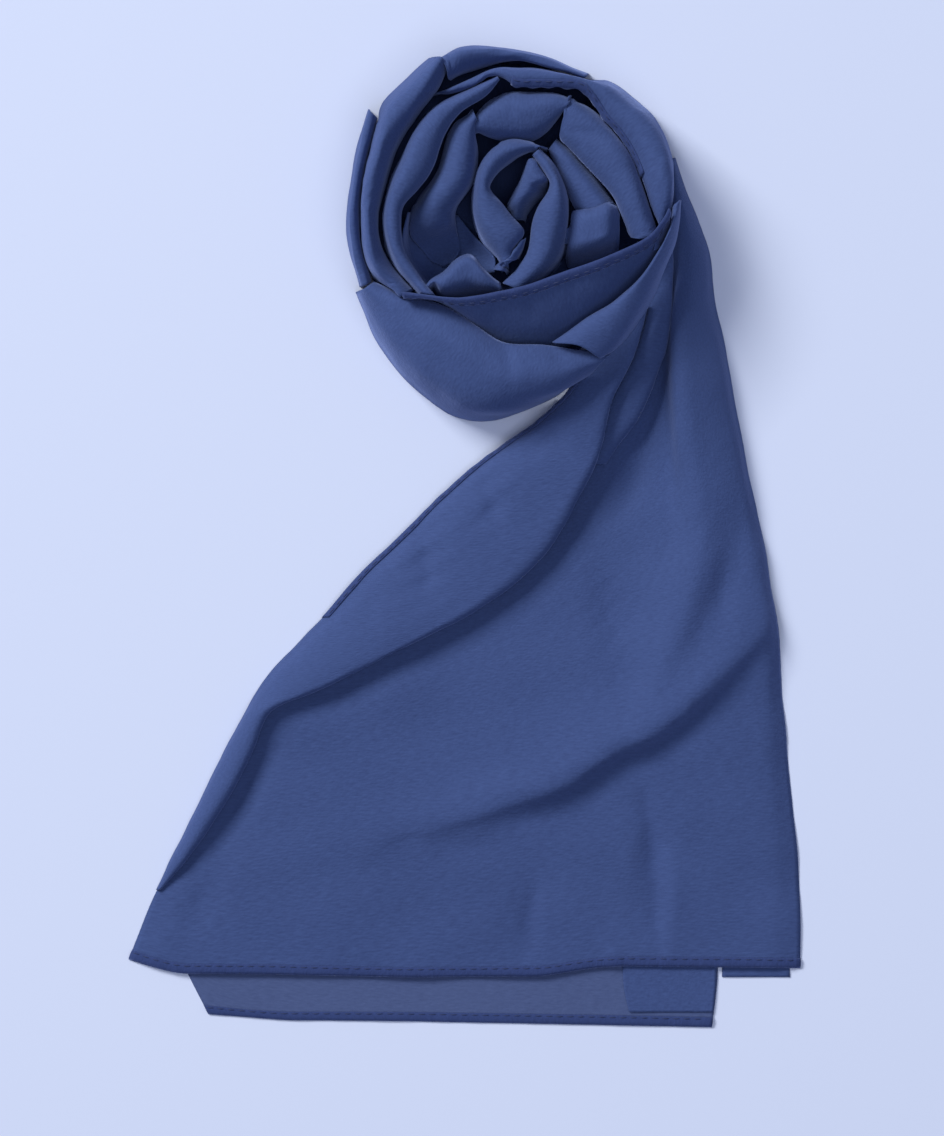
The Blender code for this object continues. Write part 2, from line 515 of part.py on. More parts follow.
def push_from(point, trees, clearance):
    """Return how far a point has to move to clear every wall, or None where it does."""
    here = Vector(point)
    push = None
    for tree in trees:
        spot, normal, _, distance = tree.find_nearest(here, clearance * 2.5)
        if spot is None:
            continue
        inside = (here - spot).dot(normal) < 0.0
        short = clearance + distance if inside else clearance - distance
        if short <= 0.0:
            continue
        away = np.array(normal) if inside or distance < 1e-4 else np.array(here - spot) / distance
        push = away * short if push is None else push + away * short
    return push


def keep_apart(grid, trees, clearance, rounds=24):
    """Ease a sheet off the walls that are already there, until it clears them."""
    grid = grid.copy()
    for _ in range(rounds):
        points = finer(grid)
        pushes = np.zeros_like(points)
        moved = False
        for index in np.ndindex(points.shape[:2]):
            push = push_from(points[index], trees, clearance)
            if push is not None:
                pushes[index] = push
                moved = True
        if not moved:
            break
        padded = np.pad(pushes, ((1, 1), (1, 1), (0, 0)))
        spread = np.zeros_like(grid)
        weights = ((0.4, 0.7, 0.4), (0.7, 1.0, 0.7), (0.4, 0.7, 0.4))
        for i in range(3):
            for j in range(3):
                spread += weights[i][j] * padded[i:i + pushes.shape[0]:2, j:j + pushes.shape[1]:2]
        grid += spread * 0.35
        grid[..., 2] = np.maximum(grid[..., 2], PLY * 0.5)
    return grid


def clear_span(line, trees, clearance):
    """Return the first and last point of a line that clear every wall, outwards from its middle."""
    clear = [push_from(point, trees, clearance) is None for point in line]
    middle = min(range(len(line)), key=lambda j: (not clear[j], abs(j - len(line) // 2)))
    first = last = middle
    while first > 0 and clear[first - 1]:
        first -= 1
    while last < len(line) - 1 and clear[last + 1]:
        last += 1
    return first, last


def trim_legs(grid, trees, clearance, fineness=41, least=0.2):
    """Shorten each cut's legs to where they clear the walls that are already there."""
    rows = finer(grid)[:, ::2]
    dense = np.array([smooth_rows(row, fineness) for row in rows])
    spans = np.array([clear_span(line, trees, clearance) for line in dense], dtype=float)
    padded = np.pad(spans, ((2, 2), (0, 0)), mode="edge")
    windows = [padded[k:k + len(spans)] for k in range(5)]
    first = np.max([window[:, 0] for window in windows], axis=0)[::2]
    last = np.min([window[:, 1] for window in windows], axis=0)[::2]
    short = last - first < least * fineness
    first, last = np.where(short, 0, first), np.where(short, fineness - 1, last)
    trimmed = [smooth_rows(line[int(a):int(b) + 1], grid.shape[1]) for line, a, b in zip(dense[::2], first, last)]
    return np.array(trimmed)


def seat_foot(grid, trees):
    """Lower a wrap's outer foot, its first column, until it stands on what lies under it."""
    grid = grid.copy()
    down = Vector((0.0, 0.0, -1.0))
    sideways = grid_normals(grid)[:, 0] * (PLY * 0.5 + SEAM_GAP)
    sideways[:, 2] = 0.0
    drops = []
    for foot, side in zip(grid[:, 0], sideways):
        room = foot[2] - FLOOR_GAP
        for start in (foot, foot + side, foot - side):
            for tree in trees:
                hit = tree.ray_cast(Vector(start), down, foot[2])
                if hit[0] is not None:
                    room = min(room, hit[3] - SEAT_GAP)
        drops.append(max(room, 0.0))
    padded = np.pad(drops, 1, mode="edge")
    safe = np.minimum(np.minimum(padded[:-2], padded[1:-1]), padded[2:])
    for column, share in enumerate(FOOT_SHARES):
        grid[:, column, 2] -= safe * share
    return grid


def cloth_material(tone):
    """Return the dyed georgette in one of its tones."""
    name = "georgette_" + tone
    material = bpy.data.materials.get(name)
    if material is None:
        material = bpy.data.materials.new(name)
        material.use_nodes = True
        shader = material.node_tree.nodes["Principled BSDF"]
        shader.inputs["Base Color"].default_value = COLOURS[tone]
        shader.inputs["Roughness"].default_value = 0.85
        shader.inputs["Metallic"].default_value = 0.0
    return material


def wall(name, grid, tone, ply=PLY):
    """Make a closed wall of cloth on a grid of points, half its thickness to each side."""
    rows, columns = grid.shape[:2]
    normals = grid_normals(grid)
    upper = grid + normals * ply * 0.5
    lower = grid - normals * ply * 0.5
    upper[..., 2] = np.maximum(upper[..., 2], 0.0)
    lower[..., 2] = np.maximum(lower[..., 2], 0.0)
    mesh = bpy.data.meshes.new(name)
    work = bmesh.new()
    sides = [[[work.verts.new(point * MM) for point in row] for row in side] for side in (upper, lower)]
    top, base = sides
    for i in range(rows - 1):
        for j in range(columns - 1):
            work.faces.new((top[i][j], top[i + 1][j], top[i + 1][j + 1], top[i][j + 1]))
            work.faces.new((base[i][j], base[i][j + 1], base[i + 1][j + 1], base[i + 1][j]))
    rim = [(i, 0) for i in range(rows)] + [(rows - 1, j) for j in range(1, columns)]
    rim += [(i, columns - 1) for i in range(rows - 2, -1, -1)] + [(0, j) for j in range(columns - 2, 0, -1)]
    for (i, j), (k, m) in zip(rim, rim[1:] + rim[:1]):
        work.faces.new((top[i][j], base[i][j], base[k][m], top[k][m]))
    return finish_object(name, mesh, work, tone)


def finish_object(name, mesh, work, tone):
    """Turn faces outwards, shade smooth and link the object."""
    bmesh.ops.recalc_face_normals(work, faces=work.faces)
    bmesh.ops.triangulate(work, faces=work.faces)
    work.to_mesh(mesh)
    work.free()
    mesh.shade_smooth()
    mesh.materials.append(cloth_material(tone))
    item = bpy.data.objects.new(name, mesh)
    bpy.context.collection.objects.link(item)
    return item


def tree_of(item):
    """Return a search tree of an object's faces, in millimetres."""
    points = [vertex.co / MM for vertex in item.data.vertices]
    return BVHTree.FromPolygons(points, [tuple(face.vertices) for face in item.data.polygons])


def edge_strip(grid, edge, width, lift):
    """Return a narrow strip that follows one edge of a panel, moved out from it: left, right or end."""
    if edge == "right":
        grid = grid[:, ::-1]
    elif edge == "end":
        grid = np.swapaxes(grid, 0, 1)[:, ::-1]
    normals = grid_normals(grid)
    normals *= np.where(normals[:, :1, 2:3] < 0, -1.0, 1.0)
    strip = []
    for line, ups in zip(grid, normals):
        run = np.concatenate([[0.0], np.cumsum(np.linalg.norm(np.diff(line, axis=0), axis=1))])
        at = [width * share for share in HEM_SHARES]
        spots = np.stack([np.interp(at, run, line[:, k]) for k in range(3)], axis=1)
        outs = np.stack([np.interp(at, run, ups[:, k]) for k in range(3)], axis=1)
        strip.append(spots + outs * lift)
    return np.array(strip)


def rose_core():
    """Make the hidden layers of the rose as one low rounded stack, ledged at its side."""
    ledges = (
        # share of radius, height
        (0.955, 0.0), (1.0, 1.4), (1.0, 3.6), (0.965, 4.6), (0.985, 6.0), (0.985, 8.2),
        (0.945, 9.2), (0.96, 10.6), (0.95, 12.6), (0.89, 14.4), (0.70, 15.7), (0.35, CORE_HEIGHT),
    )
    sides = 36
    mesh = bpy.data.meshes.new("rose_core")
    work = bmesh.new()
    rings = []
    for share, height in ledges:
        ring = []
        for step in range(sides):
            angle = 2.0 * np.pi * step / sides
            x = CORE_CENTRE[0] + CORE_RADII[0] * share * np.cos(angle)
            y = CORE_CENTRE[1] + CORE_RADII[1] * share * np.sin(angle)
            ring.append(work.verts.new((x * MM, y * MM, height * MM)))
        rings.append(ring)
    for low, high in zip(rings, rings[1:]):
        for step in range(sides):
            after = (step + 1) % sides
            work.faces.new((low[step], low[after], high[after], high[step]))
    work.faces.new(rings[0][::-1])
    work.faces.new(rings[-1])
    return finish_object("rose_core", mesh, work, "deep")


class Builder:
    """Builds the stretches in order, each kept clear of the ones before it."""

    def __init__(self):
        self.trees = {}
        self.grids = {}

    def add(self, name, grid, tone, ply=PLY, apart=True, trimmed=False, seated=False):
        """Place one stretch and remember it for the next ones."""
        grid = true_place(grid)
        if apart:
            grid = keep_apart(grid, list(self.trees.values()), ply * 0.5 + SEAM_GAP + 0.05)
        if trimmed:
            grid = trim_legs(grid, list(self.trees.values()), ply * 0.5 + SEAM_GAP)
        if seated:
            grid = seat_foot(grid, list(self.trees.values()))
        item = wall(name, grid, tone, ply)
        self.grids[name] = grid
        self.trees[name] = tree_of(item)
        return item

    def add_hem(self, name, panel, edge, rows=slice(None)):
        """Place a hem on the outer side of a panel's edge."""
        lift = PLY * 0.5 + SEAM_GAP + HEM_PLY * 0.5
        strip = edge_strip(self.grids[panel][rows], edge, HEM_WIDTH, lift)
        strip = keep_apart(strip, list(self.trees.values()), HEM_PLY * 0.5 + SEAM_GAP * 0.8)
        item = wall(name, strip, "deep", HEM_PLY)
        self.trees[name] = tree_of(item)
        return item


def build():
    """Build the whole scarf."""
    for item in list(bpy.data.objects):
        bpy.data.objects.remove(item)
    scarf = Builder()
    core = rose_core()
    scarf.trees["rose_core"] = tree_of(core)

    under = dip_end(flat_grid(UNDER_PANEL_SIDES, 12, 14, PLY * 0.5), UNDER_HEM_DIP, 4)
    scarf.add("under_panel", under, "mid", apart=False)
    scarf.add("turned_edge", flat_grid(TURNED_EDGE_SIDES, 8, 3, PLY * 0.5), "deep", apart=False)
    scarf.add_hem("under_hem", "under_panel", "end")
    scarf.add("tail_panel", panel_grid(TAIL_PANEL, 34, 27, TAIL_FOLDS), "mid")
    scarf.add("narrow_fold", band_grid(NARROW_FOLD, 10, 12), "pale")
    scarf.add("tail_band", band_grid(TAIL_BAND, 26, 15, BAND_FOLDS), "pale")
    scarf.add_hem("end_hem", "tail_panel", "end")
    scarf.add_hem("side_hem", "tail_band", "left", slice(1, 14))

    wraps = (
        ("front_band", FRONT_BAND, 18, 10, "pale"),
        ("outer_wrap", OUTER_WRAP, 12, 7, "mid"),
        ("second_wrap", SECOND_WRAP, 18, 8, "pale"),
        ("hemmed_wrap", HEMMED_WRAP, 20, 8, "pale"),
        ("back_wrap", BACK_WRAP, 12, 7, "mid"),
        ("crown_wrap", CROWN_WRAP, 24, 8, "pale"),
        ("basin", BASIN, 9, 9, "deep"),
        ("inner_wrap_top", INNER_WRAP_TOP, 12, 9, "mid"),
        ("inner_wrap_left", INNER_WRAP_LEFT, 12, 9, "pale"),
        ("right_petal", RIGHT_PETAL, 12, 9, "pale"),
        ("inner_petal", INNER_PETAL, 8, 7, "mid"),
        ("bud_ring", BUD_RING, 16, 9, "pale"),
        ("bud_right", BUD_RIGHT, 10, 9, "pale"),
        ("bud_fold", BUD_FOLD, 8, 7, "pale"),
        ("bud_lower", BUD_LOWER, 8, 7, "mid"),
        ("cheek_petal", CHEEK_PETAL, 9, 9, "pale"),
        ("lower_petal", LOWER_PETAL, 11, 9, "pale"),
        ("front_wrap", FRONT_WRAP, 18, 8, "mid"),
        ("twist", TWIST, 12, 9, "pale"),
    )
    for name, cuts, along, across, tone in wraps:
        grid = wrap_grid(cuts, along, across, soft=name != "front_wrap")
        scarf.add(name, grid, tone, trimmed=True, seated=name not in HUNG_ON_OTHERS)
        if name == "front_wrap":
            scarf.add_hem("front_hem", "front_wrap", "right")
    scarf.add_hem("crown_hem", "crown_wrap", "right", slice(9, 20))


build()
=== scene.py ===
"""Looks of a georgette scarf laid flat, one end wound into a rose, seen from straight above.

Tables are in millimetres, in the frame's own axes: X right, Y from the end hem to the rose, Z up.
"""

import logging
import math
from dataclasses import dataclass, field
from enum import Enum
from typing import NamedTuple, Optional, Sequence

import bpy
import numpy as np
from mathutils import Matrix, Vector
from mathutils.bvhtree import BVHTree

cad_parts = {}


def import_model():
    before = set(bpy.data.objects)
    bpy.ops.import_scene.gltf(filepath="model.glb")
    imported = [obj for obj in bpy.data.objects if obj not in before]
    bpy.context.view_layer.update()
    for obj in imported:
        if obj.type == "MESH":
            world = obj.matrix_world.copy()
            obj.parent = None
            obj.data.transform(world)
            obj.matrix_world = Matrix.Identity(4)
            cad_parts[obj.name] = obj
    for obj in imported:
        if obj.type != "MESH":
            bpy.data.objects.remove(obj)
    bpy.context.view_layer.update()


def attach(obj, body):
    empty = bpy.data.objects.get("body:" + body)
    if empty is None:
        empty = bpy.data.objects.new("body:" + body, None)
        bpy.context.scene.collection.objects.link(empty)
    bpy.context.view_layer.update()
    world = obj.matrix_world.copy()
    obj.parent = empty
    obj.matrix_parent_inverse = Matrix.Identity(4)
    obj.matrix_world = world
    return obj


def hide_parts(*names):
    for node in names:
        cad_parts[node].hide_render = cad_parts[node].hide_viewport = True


log = logging.getLogger("scarf")

MM = 0.001
FRAME_PLY = 1.0  # wall of the frame's solids, mm
SHELL_PLY = 0.5  # crepe georgette with its loft, mm
HEM_PLY = 0.4  # the rolled hem's own shell, mm
DOUBLING_PLY = 0.3  # the layer folded over at a corner, mm
CLEARANCE = 0.40  # from a shell's middle surface to the next shell, mm
EASED_CLEARANCE = CLEARANCE + 0.03  # asked for while easing, so that trimming finds it cleared, mm
WATCH_REACH = 6.0  # only points this near to a wall are watched while easing, mm
SEAM_GAP = 0.35  # beside a foot, mm
SEAT_GAP = 0.7  # under a foot that stands on cloth, mm
FLOOR_GAP = 0.05  # under a foot that stands on the table, mm
SEAT_WATCH = 80.0  # how far round a wrap the walls under it are looked for, mm
FOOT_SHARES = (1.0, 0.8, 0.55, 0.32, 0.15, 0.05)  # how much each column moves down with the foot
LOOK_HEIGHT = 2000.0  # of the camera, mm
LOOK_SPOT = np.array([4.0, -15.0])  # on the table under the camera, mm
SHOULDER_IN = 0.30
SHOULDER_UP = 0.72
CORE_RADIUS = 72.0  # mean radius of the hidden layers, mm
# Waves that make a stretch uneven: how many, how long while it is laid and once it is fine, mm
WAVES = 9
LAID_WAVE = 30.0
FINE_WAVE = 9.0
FINE_UNEVENNESS = 0.05
# A folded band's lip: its radius in mm, and its largest share of the band's width
LIP_RADIUS = 2.6
LIP_SHARE = 0.22
# The wide panel's turned edges: how far in they start, mm, and their largest share of the last stretch
TUCK = 5.0
TUCK_SHARE = 0.35
FLAT_BELOW = -160.0  # the panel's left edge lies on the table below this y, mm
NEAR = 2.5  # clearances within which a wall is looked for
PUSH_SHARE = 0.35  # of the push off a wall, taken in one round of easing
SEED = 41
# Places of the colour sockets on a colour mix node
MIX_LOW, MIX_HIGH, MIX_RESULT = 6, 7, 2


class Cut(NamedTuple):
    """One cut across a wrap: its outer foot, its crest and its inner toe, each x, y, height."""

    foot: tuple
    crest: tuple
    toe: tuple


class BandCut(NamedTuple):
    """One level cut across a folded band, from its left edge to its turned lip."""

    y: float
    left: float
    left_z: float
    crown_z: float
    lip: float
    lip_z: float


class Sides(NamedTuple):
    """One level cut across a flat layer: its left and right sides."""

    y: float
    left: float
    right: float


class Dip(NamedTuple):
    """How far a sheet's end lies below its last cut at one x; less than nothing is above it."""

    x: float
    down: float


class PanelCut(NamedTuple):
    """One level cut across the tail's wide panel: x and height of each named line."""

    y: float
    left: float
    left_z: float
    valley: float
    valley_z: float
    step: float
    step_z: float
    brow: float
    brow_z: float
    crown: float
    crown_z: float
    edge: float


class Fold(NamedTuple):
    """A soft fold: its route, its height, and its reach to the left and right of the route."""

    route: tuple
    rise: float
    left_reach: float
    right_reach: float


class Edge(Enum):
    """Which edge of a panel's grid a hem runs along."""

    LEFT = "left"
    RIGHT = "right"
    END = "end"


class Held(Enum):
    """How a stretch of the cloth lies."""

    LAID = "laid"
    FOLDED = "folded"


# Rose: the wraps from the outside in, a row for each cut
OUTER_WRAP = (
    Cut((-47.5, 214.5, 3), (-46.5, 213.0, 38), (-43.5, 210.0, 24)),
    Cut((-51.5, 202.0, 1), (-49.5, 201.0, 40), (-46.0, 199.5, 24)),
    Cut((-56.0, 183.0, 1), (-53.0, 182.5, 42), (-50.0, 182.0, 24)),
    Cut((-59.0, 160.0, 1), (-55.5, 160.5, 42), (-52.0, 160.5, 24)),
    Cut((-57.0, 144.0, 1), (-54.0, 144.5, 41), (-51.0, 145.0, 24)),
    Cut((-54.0, 133.0, 1), (-51.5, 134.0, 38), (-48.5, 135.5, 24)),
)
SECOND_WRAP = (
    Cut((-17.5, 240.0, 4), (-11.0, 240.5, 46), (-8.5, 236.0, 30)),
    Cut((-29.5, 229.0, 2), (-21.5, 228.0, 49), (-13.0, 225.0, 30)),
    Cut((-39.0, 220.5, 2), (-31.0, 217.5, 51), (-20.5, 215.0, 28)),
    Cut((-44.0, 208.5, 14), (-38.5, 206.0, 52), (-28.5, 203.0, 27)),
    Cut((-47.5, 195.5, 18), (-43.5, 194.0, 52), (-34.5, 191.5, 26)),
    Cut((-50.5, 180.0, 18), (-47.5, 179.0, 52), (-39.5, 177.0, 26)),
    Cut((-52.0, 163.0, 18), (-49.0, 163.0, 52), (-42.5, 162.5, 26)),
    Cut((-51.5, 149.0, 18), (-48.0, 149.0, 51), (-42.0, 149.5, 26)),
    Cut((-48.0, 135.0, 18), (-44.5, 136.0, 49), (-37.5, 138.0, 27)),
    Cut((-41.0, 127.0, 18), (-37.5, 128.5, 46), (-32.0, 131.0, 28)),
)
HEMMED_WRAP = (
    Cut((16.5, 231.0, 46), (17.0, 230.5, 53), (18.0, 229.0, 51)),
    Cut((7.0, 226.5, 24), (8.0, 225.0, 54), (10.5, 220.5, 51)),
    Cut((-4.0, 221.5, 22), (-2.5, 220.0, 55), (1.5, 215.0, 51)),
    Cut((-13.5, 216.5, 20), (-12.0, 214.5, 56), (-5.5, 209.0, 50)),
    Cut((-20.0, 210.5, 18), (-17.0, 208.5, 56), (-9.5, 202.5, 50)),
    Cut((-27.0, 200.0, 18), (-23.5, 198.5, 56), (-12.5, 194.5, 49)),
    Cut((-32.5, 188.5, 18), (-28.5, 187.0, 56), (-15.5, 185.0, 48)),
    Cut((-37.0, 178.5, 18), (-32.5, 177.0, 55), (-21.5, 175.5, 47)),
    Cut((-39.5, 169.0, 18), (-36.5, 167.5, 54), (-30.5, 166.0, 45)),
    Cut((-40.5, 158.0, 18), (-37.0, 158.0, 54), (-31.5, 156.5, 44)),
    Cut((-39.5, 146.5, 18), (-35.5, 147.0, 53), (-30.0, 144.5, 43)),
    Cut((-35.0, 136.0, 18), (-31.0, 137.5, 51), (-26.0, 136.5, 43)),
    Cut((-28.5, 128.5, 22), (-25.5, 130.0, 49), (-20.5, 128.5, 43)),
)
BACK_WRAP = (
    Cut((-9.0, 241.5, 3), (-7.5, 240.0, 44), (-8.5, 228.0, 30)),
    Cut((-1.0, 245.5, 3), (-0.5, 243.5, 46), (-3.5, 231.5, 28)),
    Cut((10.5, 246.0, 3), (11.0, 243.5, 46), (8.0, 235.0, 28)),
    Cut((22.0, 245.0, 3), (22.0, 243.0, 46), (19.5, 237.5, 30)),
    Cut((33.0, 243.0, 3), (32.5, 240.5, 46), (30.5, 238.0, 32)),
    Cut((43.0, 240.0, 3), (42.0, 238.0, 44), (39.5, 236.0, 33)),
    Cut((54.0, 235.0, 3), (53.0, 234.0, 41), (51.0, 233.5, 33)),
)
CROWN_WRAP = (
    Cut((-13.5, 223.0, 22), (-12.0, 222.5, 34), (-10.0, 221.0, 28)),
    Cut((-4.5, 226.0, 22), (-3.5, 225.5, 44), (-2.0, 223.5, 36)),
    Cut((6.0, 230.5, 22), (6.5, 229.5, 49), (8.0, 228.0, 44)),
    Cut((16.0, 235.0, 20), (16.0, 234.0, 52), (16.5, 233.0, 49)),
    Cut((22.0, 234.5, 20), (22.5, 233.0, 53), (23.5, 226.5, 50)),
    Cut((30.0, 235.0, 20), (30.5, 233.5, 53), (31.0, 226.0, 50)),
    Cut((41.0, 234.0, 18), (41.0, 233.0, 53), (41.0, 225.5, 50)),
    Cut((52.0, 231.5, 14), (51.5, 231.0, 53), (50.0, 225.5, 50)),
    Cut((64.0, 229.0, 4), (62.5, 227.5, 52), (58.5, 224.0, 49)),
    Cut((74.0, 227.5, 3), (72.0, 225.0, 51), (65.0, 217.5, 46)),
    Cut((84.0, 220.0, 3), (80.0, 216.5, 51), (69.0, 210.5, 45)),
    Cut((93.0, 213.0, 3), (88.5, 210.0, 51), (76.5, 202.5, 44)),
    Cut((99.0, 203.5, 3), (95.0, 201.0, 51), (82.5, 194.0, 43)),
    Cut((103.5, 191.5, 3), (99.5, 190.0, 51), (87.0, 184.5, 43)),
    Cut((105.0, 180.0, 27), (102.0, 178.5, 51), (91.0, 174.5, 43)),
    Cut((105.0, 169.0, 30), (101.5, 168.0, 49), (94.0, 165.0, 43)),
    Cut((102.5, 159.5, 32), (100.0, 159.5, 46), (97.0, 158.0, 43)),
)
INNER_WRAP_TOP = (
    Cut((5.0, 211.0, 30), (5.5, 207.0, 48), (7.0, 202.5, 40)),
    Cut((11.0, 218.0, 28), (12.5, 213.0, 50), (14.0, 199.5, 38)),
    Cut((21.0, 223.5, 28), (22.0, 217.0, 52), (22.0, 198.0, 36)),
    Cut((35.0, 224.0, 28), (35.0, 218.0, 53), (33.0, 198.0, 36)),
    Cut((46.0, 223.5, 28), (46.0, 218.5, 53), (42.0, 203.5, 38)),
    Cut((54.0, 220.5, 30), (52.5, 217.5, 52), (48.5, 211.0, 42)),
)
INNER_WRAP_LEFT = (
    Cut((2.0, 212.5, 36), (4.0, 208.5, 51), (6.0, 206.0, 44)),
    Cut((-7.0, 206.5, 32), (1.0, 203.5, 52), (7.0, 199.0, 38)),
    Cut((-10.5, 197.0, 30), (-1.5, 194.0, 52), (7.0, 190.0, 34)),
    Cut((-13.0, 186.0, 30), (-3.5, 184.0, 52), (5.5, 180.0, 32)),
    Cut((-19.5, 175.5, 28), (-8.5, 173.5, 51), (-0.5, 169.5, 30)),
    Cut((-26.5, 167.0, 26), (-13.5, 166.0, 47), (-4.0, 164.5, 28)),
    Cut((-29.0, 157.0, 24), (-15.5, 157.0, 40), (-4.0, 157.5, 25)),
    Cut((-30.0, 146.0, 23), (-16.5, 147.5, 24), (-3.0, 150.0, 22)),
    Cut((-27.0, 135.0, 19), (-14.0, 138.0, 18.6), (1.0, 144.0, 19)),
)
BASIN = (
    Cut((-28.0, 163.0, 36), (-16.0, 161.0, 18), (-3.0, 161.0, 18)),
    Cut((-31.0, 150.0, 39), (-17.0, 149.0, 17.5), (7.0, 149.0, 24)),
    Cut((-29.0, 138.0, 39), (-12.0, 138.0, 17.5), (15.0, 141.0, 27)),
    Cut((-20.0, 125.0, 40), (-6.0, 129.0, 18), (15.5, 133.0, 27)),
)
LOWER_PETAL = (
    Cut((-20.0, 121.5, 38), (-19.5, 126.5, 45), (-20.0, 128.5, 38)),
    Cut((-10.0, 121.0, 36), (-10.0, 130.0, 48), (-10.5, 133.0, 34)),
    Cut((-2.0, 120.5, 36), (-3.0, 137.0, 49), (-3.5, 140.0, 34)),
    Cut((4.0, 121.0, 36), (3.0, 139.0, 49), (3.5, 142.0, 34)),
    Cut((11.0, 122.0, 36), (9.0, 133.0, 49), (9.0, 135.5, 36)),
    Cut((17.0, 122.5, 36), (16.0, 127.0, 46), (16.0, 129.0, 38)),
)
BUD_RING = (
    Cut((40.5, 195.5, 36), (35.5, 196.0, 50), (33.5, 193.0, 42)),
    Cut((29.0, 200.0, 32), (26.5, 195.5, 53), (27.5, 190.5, 40)),
    Cut((19.5, 199.5, 30), (18.5, 193.5, 54), (21.5, 186.0, 40)),
    Cut((10.5, 191.5, 28), (13.0, 187.5, 55), (16.5, 182.0, 40)),
    Cut((5.5, 180.5, 27), (9.0, 178.5, 55), (12.5, 175.0, 43)),
    Cut((4.0, 168.5, 26), (8.5, 167.5, 54), (18.5, 167.5, 46)),
    Cut((5.0, 158.0, 27), (11.0, 158.0, 53), (25.0, 159.5, 46)),
    Cut((8.5, 149.0, 29), (16.0, 151.0, 52), (30.0, 154.0, 46)),
    Cut((14.0, 142.5, 31), (19.5, 145.5, 50), (28.5, 149.5, 45)),
    Cut((17.5, 138.5, 33), (20.5, 141.5, 48), (25.0, 145.0, 43)),
)
BUD_RIGHT = (
    Cut((39.5, 193.5, 38), (37.5, 192.0, 50), (35.5, 190.0, 45)),
    Cut((45.5, 187.0, 34), (42.5, 185.5, 53), (39.5, 183.5, 45)),
    Cut((50.0, 177.5, 32), (47.0, 176.5, 55), (43.5, 175.5, 47)),
    Cut((52.5, 167.0, 30), (46.0, 167.5, 56), (38.5, 168.0, 47)),
    Cut((52.5, 156.0, 30), (44.5, 156.0, 55), (34.0, 156.0, 46)),
    Cut((50.5, 144.5, 32), (41.5, 145.0, 53), (32.5, 146.0, 45)),
    Cut((44.5, 135.0, 34), (36.5, 136.5, 51), (29.5, 138.8, 44)),
    Cut((36.0, 128.5, 36), (31.0, 130.5, 49), (25.5, 132.5, 43)),
)
BUD_FOLD = (
    Cut((35.0, 190.0, 46), (33.5, 190.0, 50), (32.0, 188.5, 44)),
    Cut((39.5, 182.5, 46), (34.5, 183.5, 51), (28.5, 179.5, 39)),
    Cut((42.5, 175.5, 44), (36.0, 175.5, 50), (24.0, 171.0, 37)),
    Cut((37.0, 170.5, 40), (32.0, 169.0, 45), (21.5, 165.5, 34)),
    Cut((32.0, 163.0, 36), (28.5, 163.0, 40), (23.5, 162.5, 32)),
)
BUD_LOWER = (
    Cut((31.0, 150.5, 38), (29.5, 149.0, 47), (27.0, 146.5, 38)),
    Cut((29.0, 144.0, 37), (25.0, 143.5, 48), (21.5, 141.0, 36)),
    Cut((24.5, 137.0, 37), (20.0, 137.0, 48), (16.5, 136.5, 36)),
    Cut((22.0, 134.0, 38), (19.0, 134.5, 47), (15.5, 135.0, 38)),
)
RIGHT_PETAL = (
    Cut((55.5, 220.5, 32), (52.0, 217.0, 51), (44.0, 203.5, 44)),
    Cut((68.5, 211.5, 30), (64.0, 208.0, 52), (53.0, 194.5, 44)),
    Cut((78.5, 200.0, 28), (74.0, 197.5, 52), (62.0, 185.0, 44)),
    Cut((85.0, 189.0, 28), (80.5, 186.5, 52), (69.5, 176.5, 44)),
    Cut((89.5, 177.5, 28), (85.0, 175.5, 52), (75.0, 169.5, 43)),
    Cut((93.5, 165.0, 28), (88.5, 164.0, 51), (78.5, 161.0, 41)),
    Cut((96.5, 155.5, 30), (92.0, 154.5, 49), (82.5, 151.0, 40)),
)
INNER_PETAL = (
    Cut((47.0, 201.0, 34), (45.0, 198.0, 40), (42.5, 194.5, 34)),
    Cut((56.5, 192.5, 34), (52.5, 190.0, 42), (46.0, 186.0, 33)),
    Cut((66.5, 182.0, 34), (60.5, 178.5, 43), (51.0, 174.0, 33)),
    Cut((74.5, 171.5, 34), (68.5, 169.5, 43), (55.0, 165.5, 35)),
)
CHEEK_PETAL = (
    Cut((49.5, 135.0, 36), (52.5, 161.0, 43), (52.0, 163.5, 34)),
    Cut((56.5, 137.0, 40), (58.0, 162.0, 48), (58.0, 164.5, 36)),
    Cut((64.5, 139.0, 42), (65.0, 162.5, 50), (65.0, 165.5, 37)),
    Cut((71.0, 141.0, 42), (71.5, 165.0, 51), (71.0, 168.0, 38)),
    Cut((75.5, 142.5, 32), (76.0, 163.0, 46), (75.5, 166.5, 34)),
)
FRONT_WRAP = (
    Cut((-26.5, 119.5, 38), (-27.0, 120.5, 46), (-28.0, 122.5, 51)),
    Cut((-13.0, 118.0, 34), (-12.5, 119.0, 46), (-12.5, 120.0, 54)),
    Cut((9.0, 102.0, 30), (8.0, 110.0, 44), (8.0, 121.5, 57)),
    Cut((33.0, 94.0, 28), (33.0, 109.0, 44), (33.0, 127.0, 58)),
    Cut((64.0, 105.0, 28), (61.0, 118.0, 45), (58.0, 135.5, 58)),
    Cut((84.0, 121.0, 30), (80.0, 132.0, 46), (78.0, 143.5, 57)),
    Cut((95.5, 135.0, 32), (94.0, 142.5, 46), (93.0, 151.0, 55)),
    Cut((102.5, 153.0, 36), (101.5, 157.0, 46), (101.0, 162.0, 53)),
)
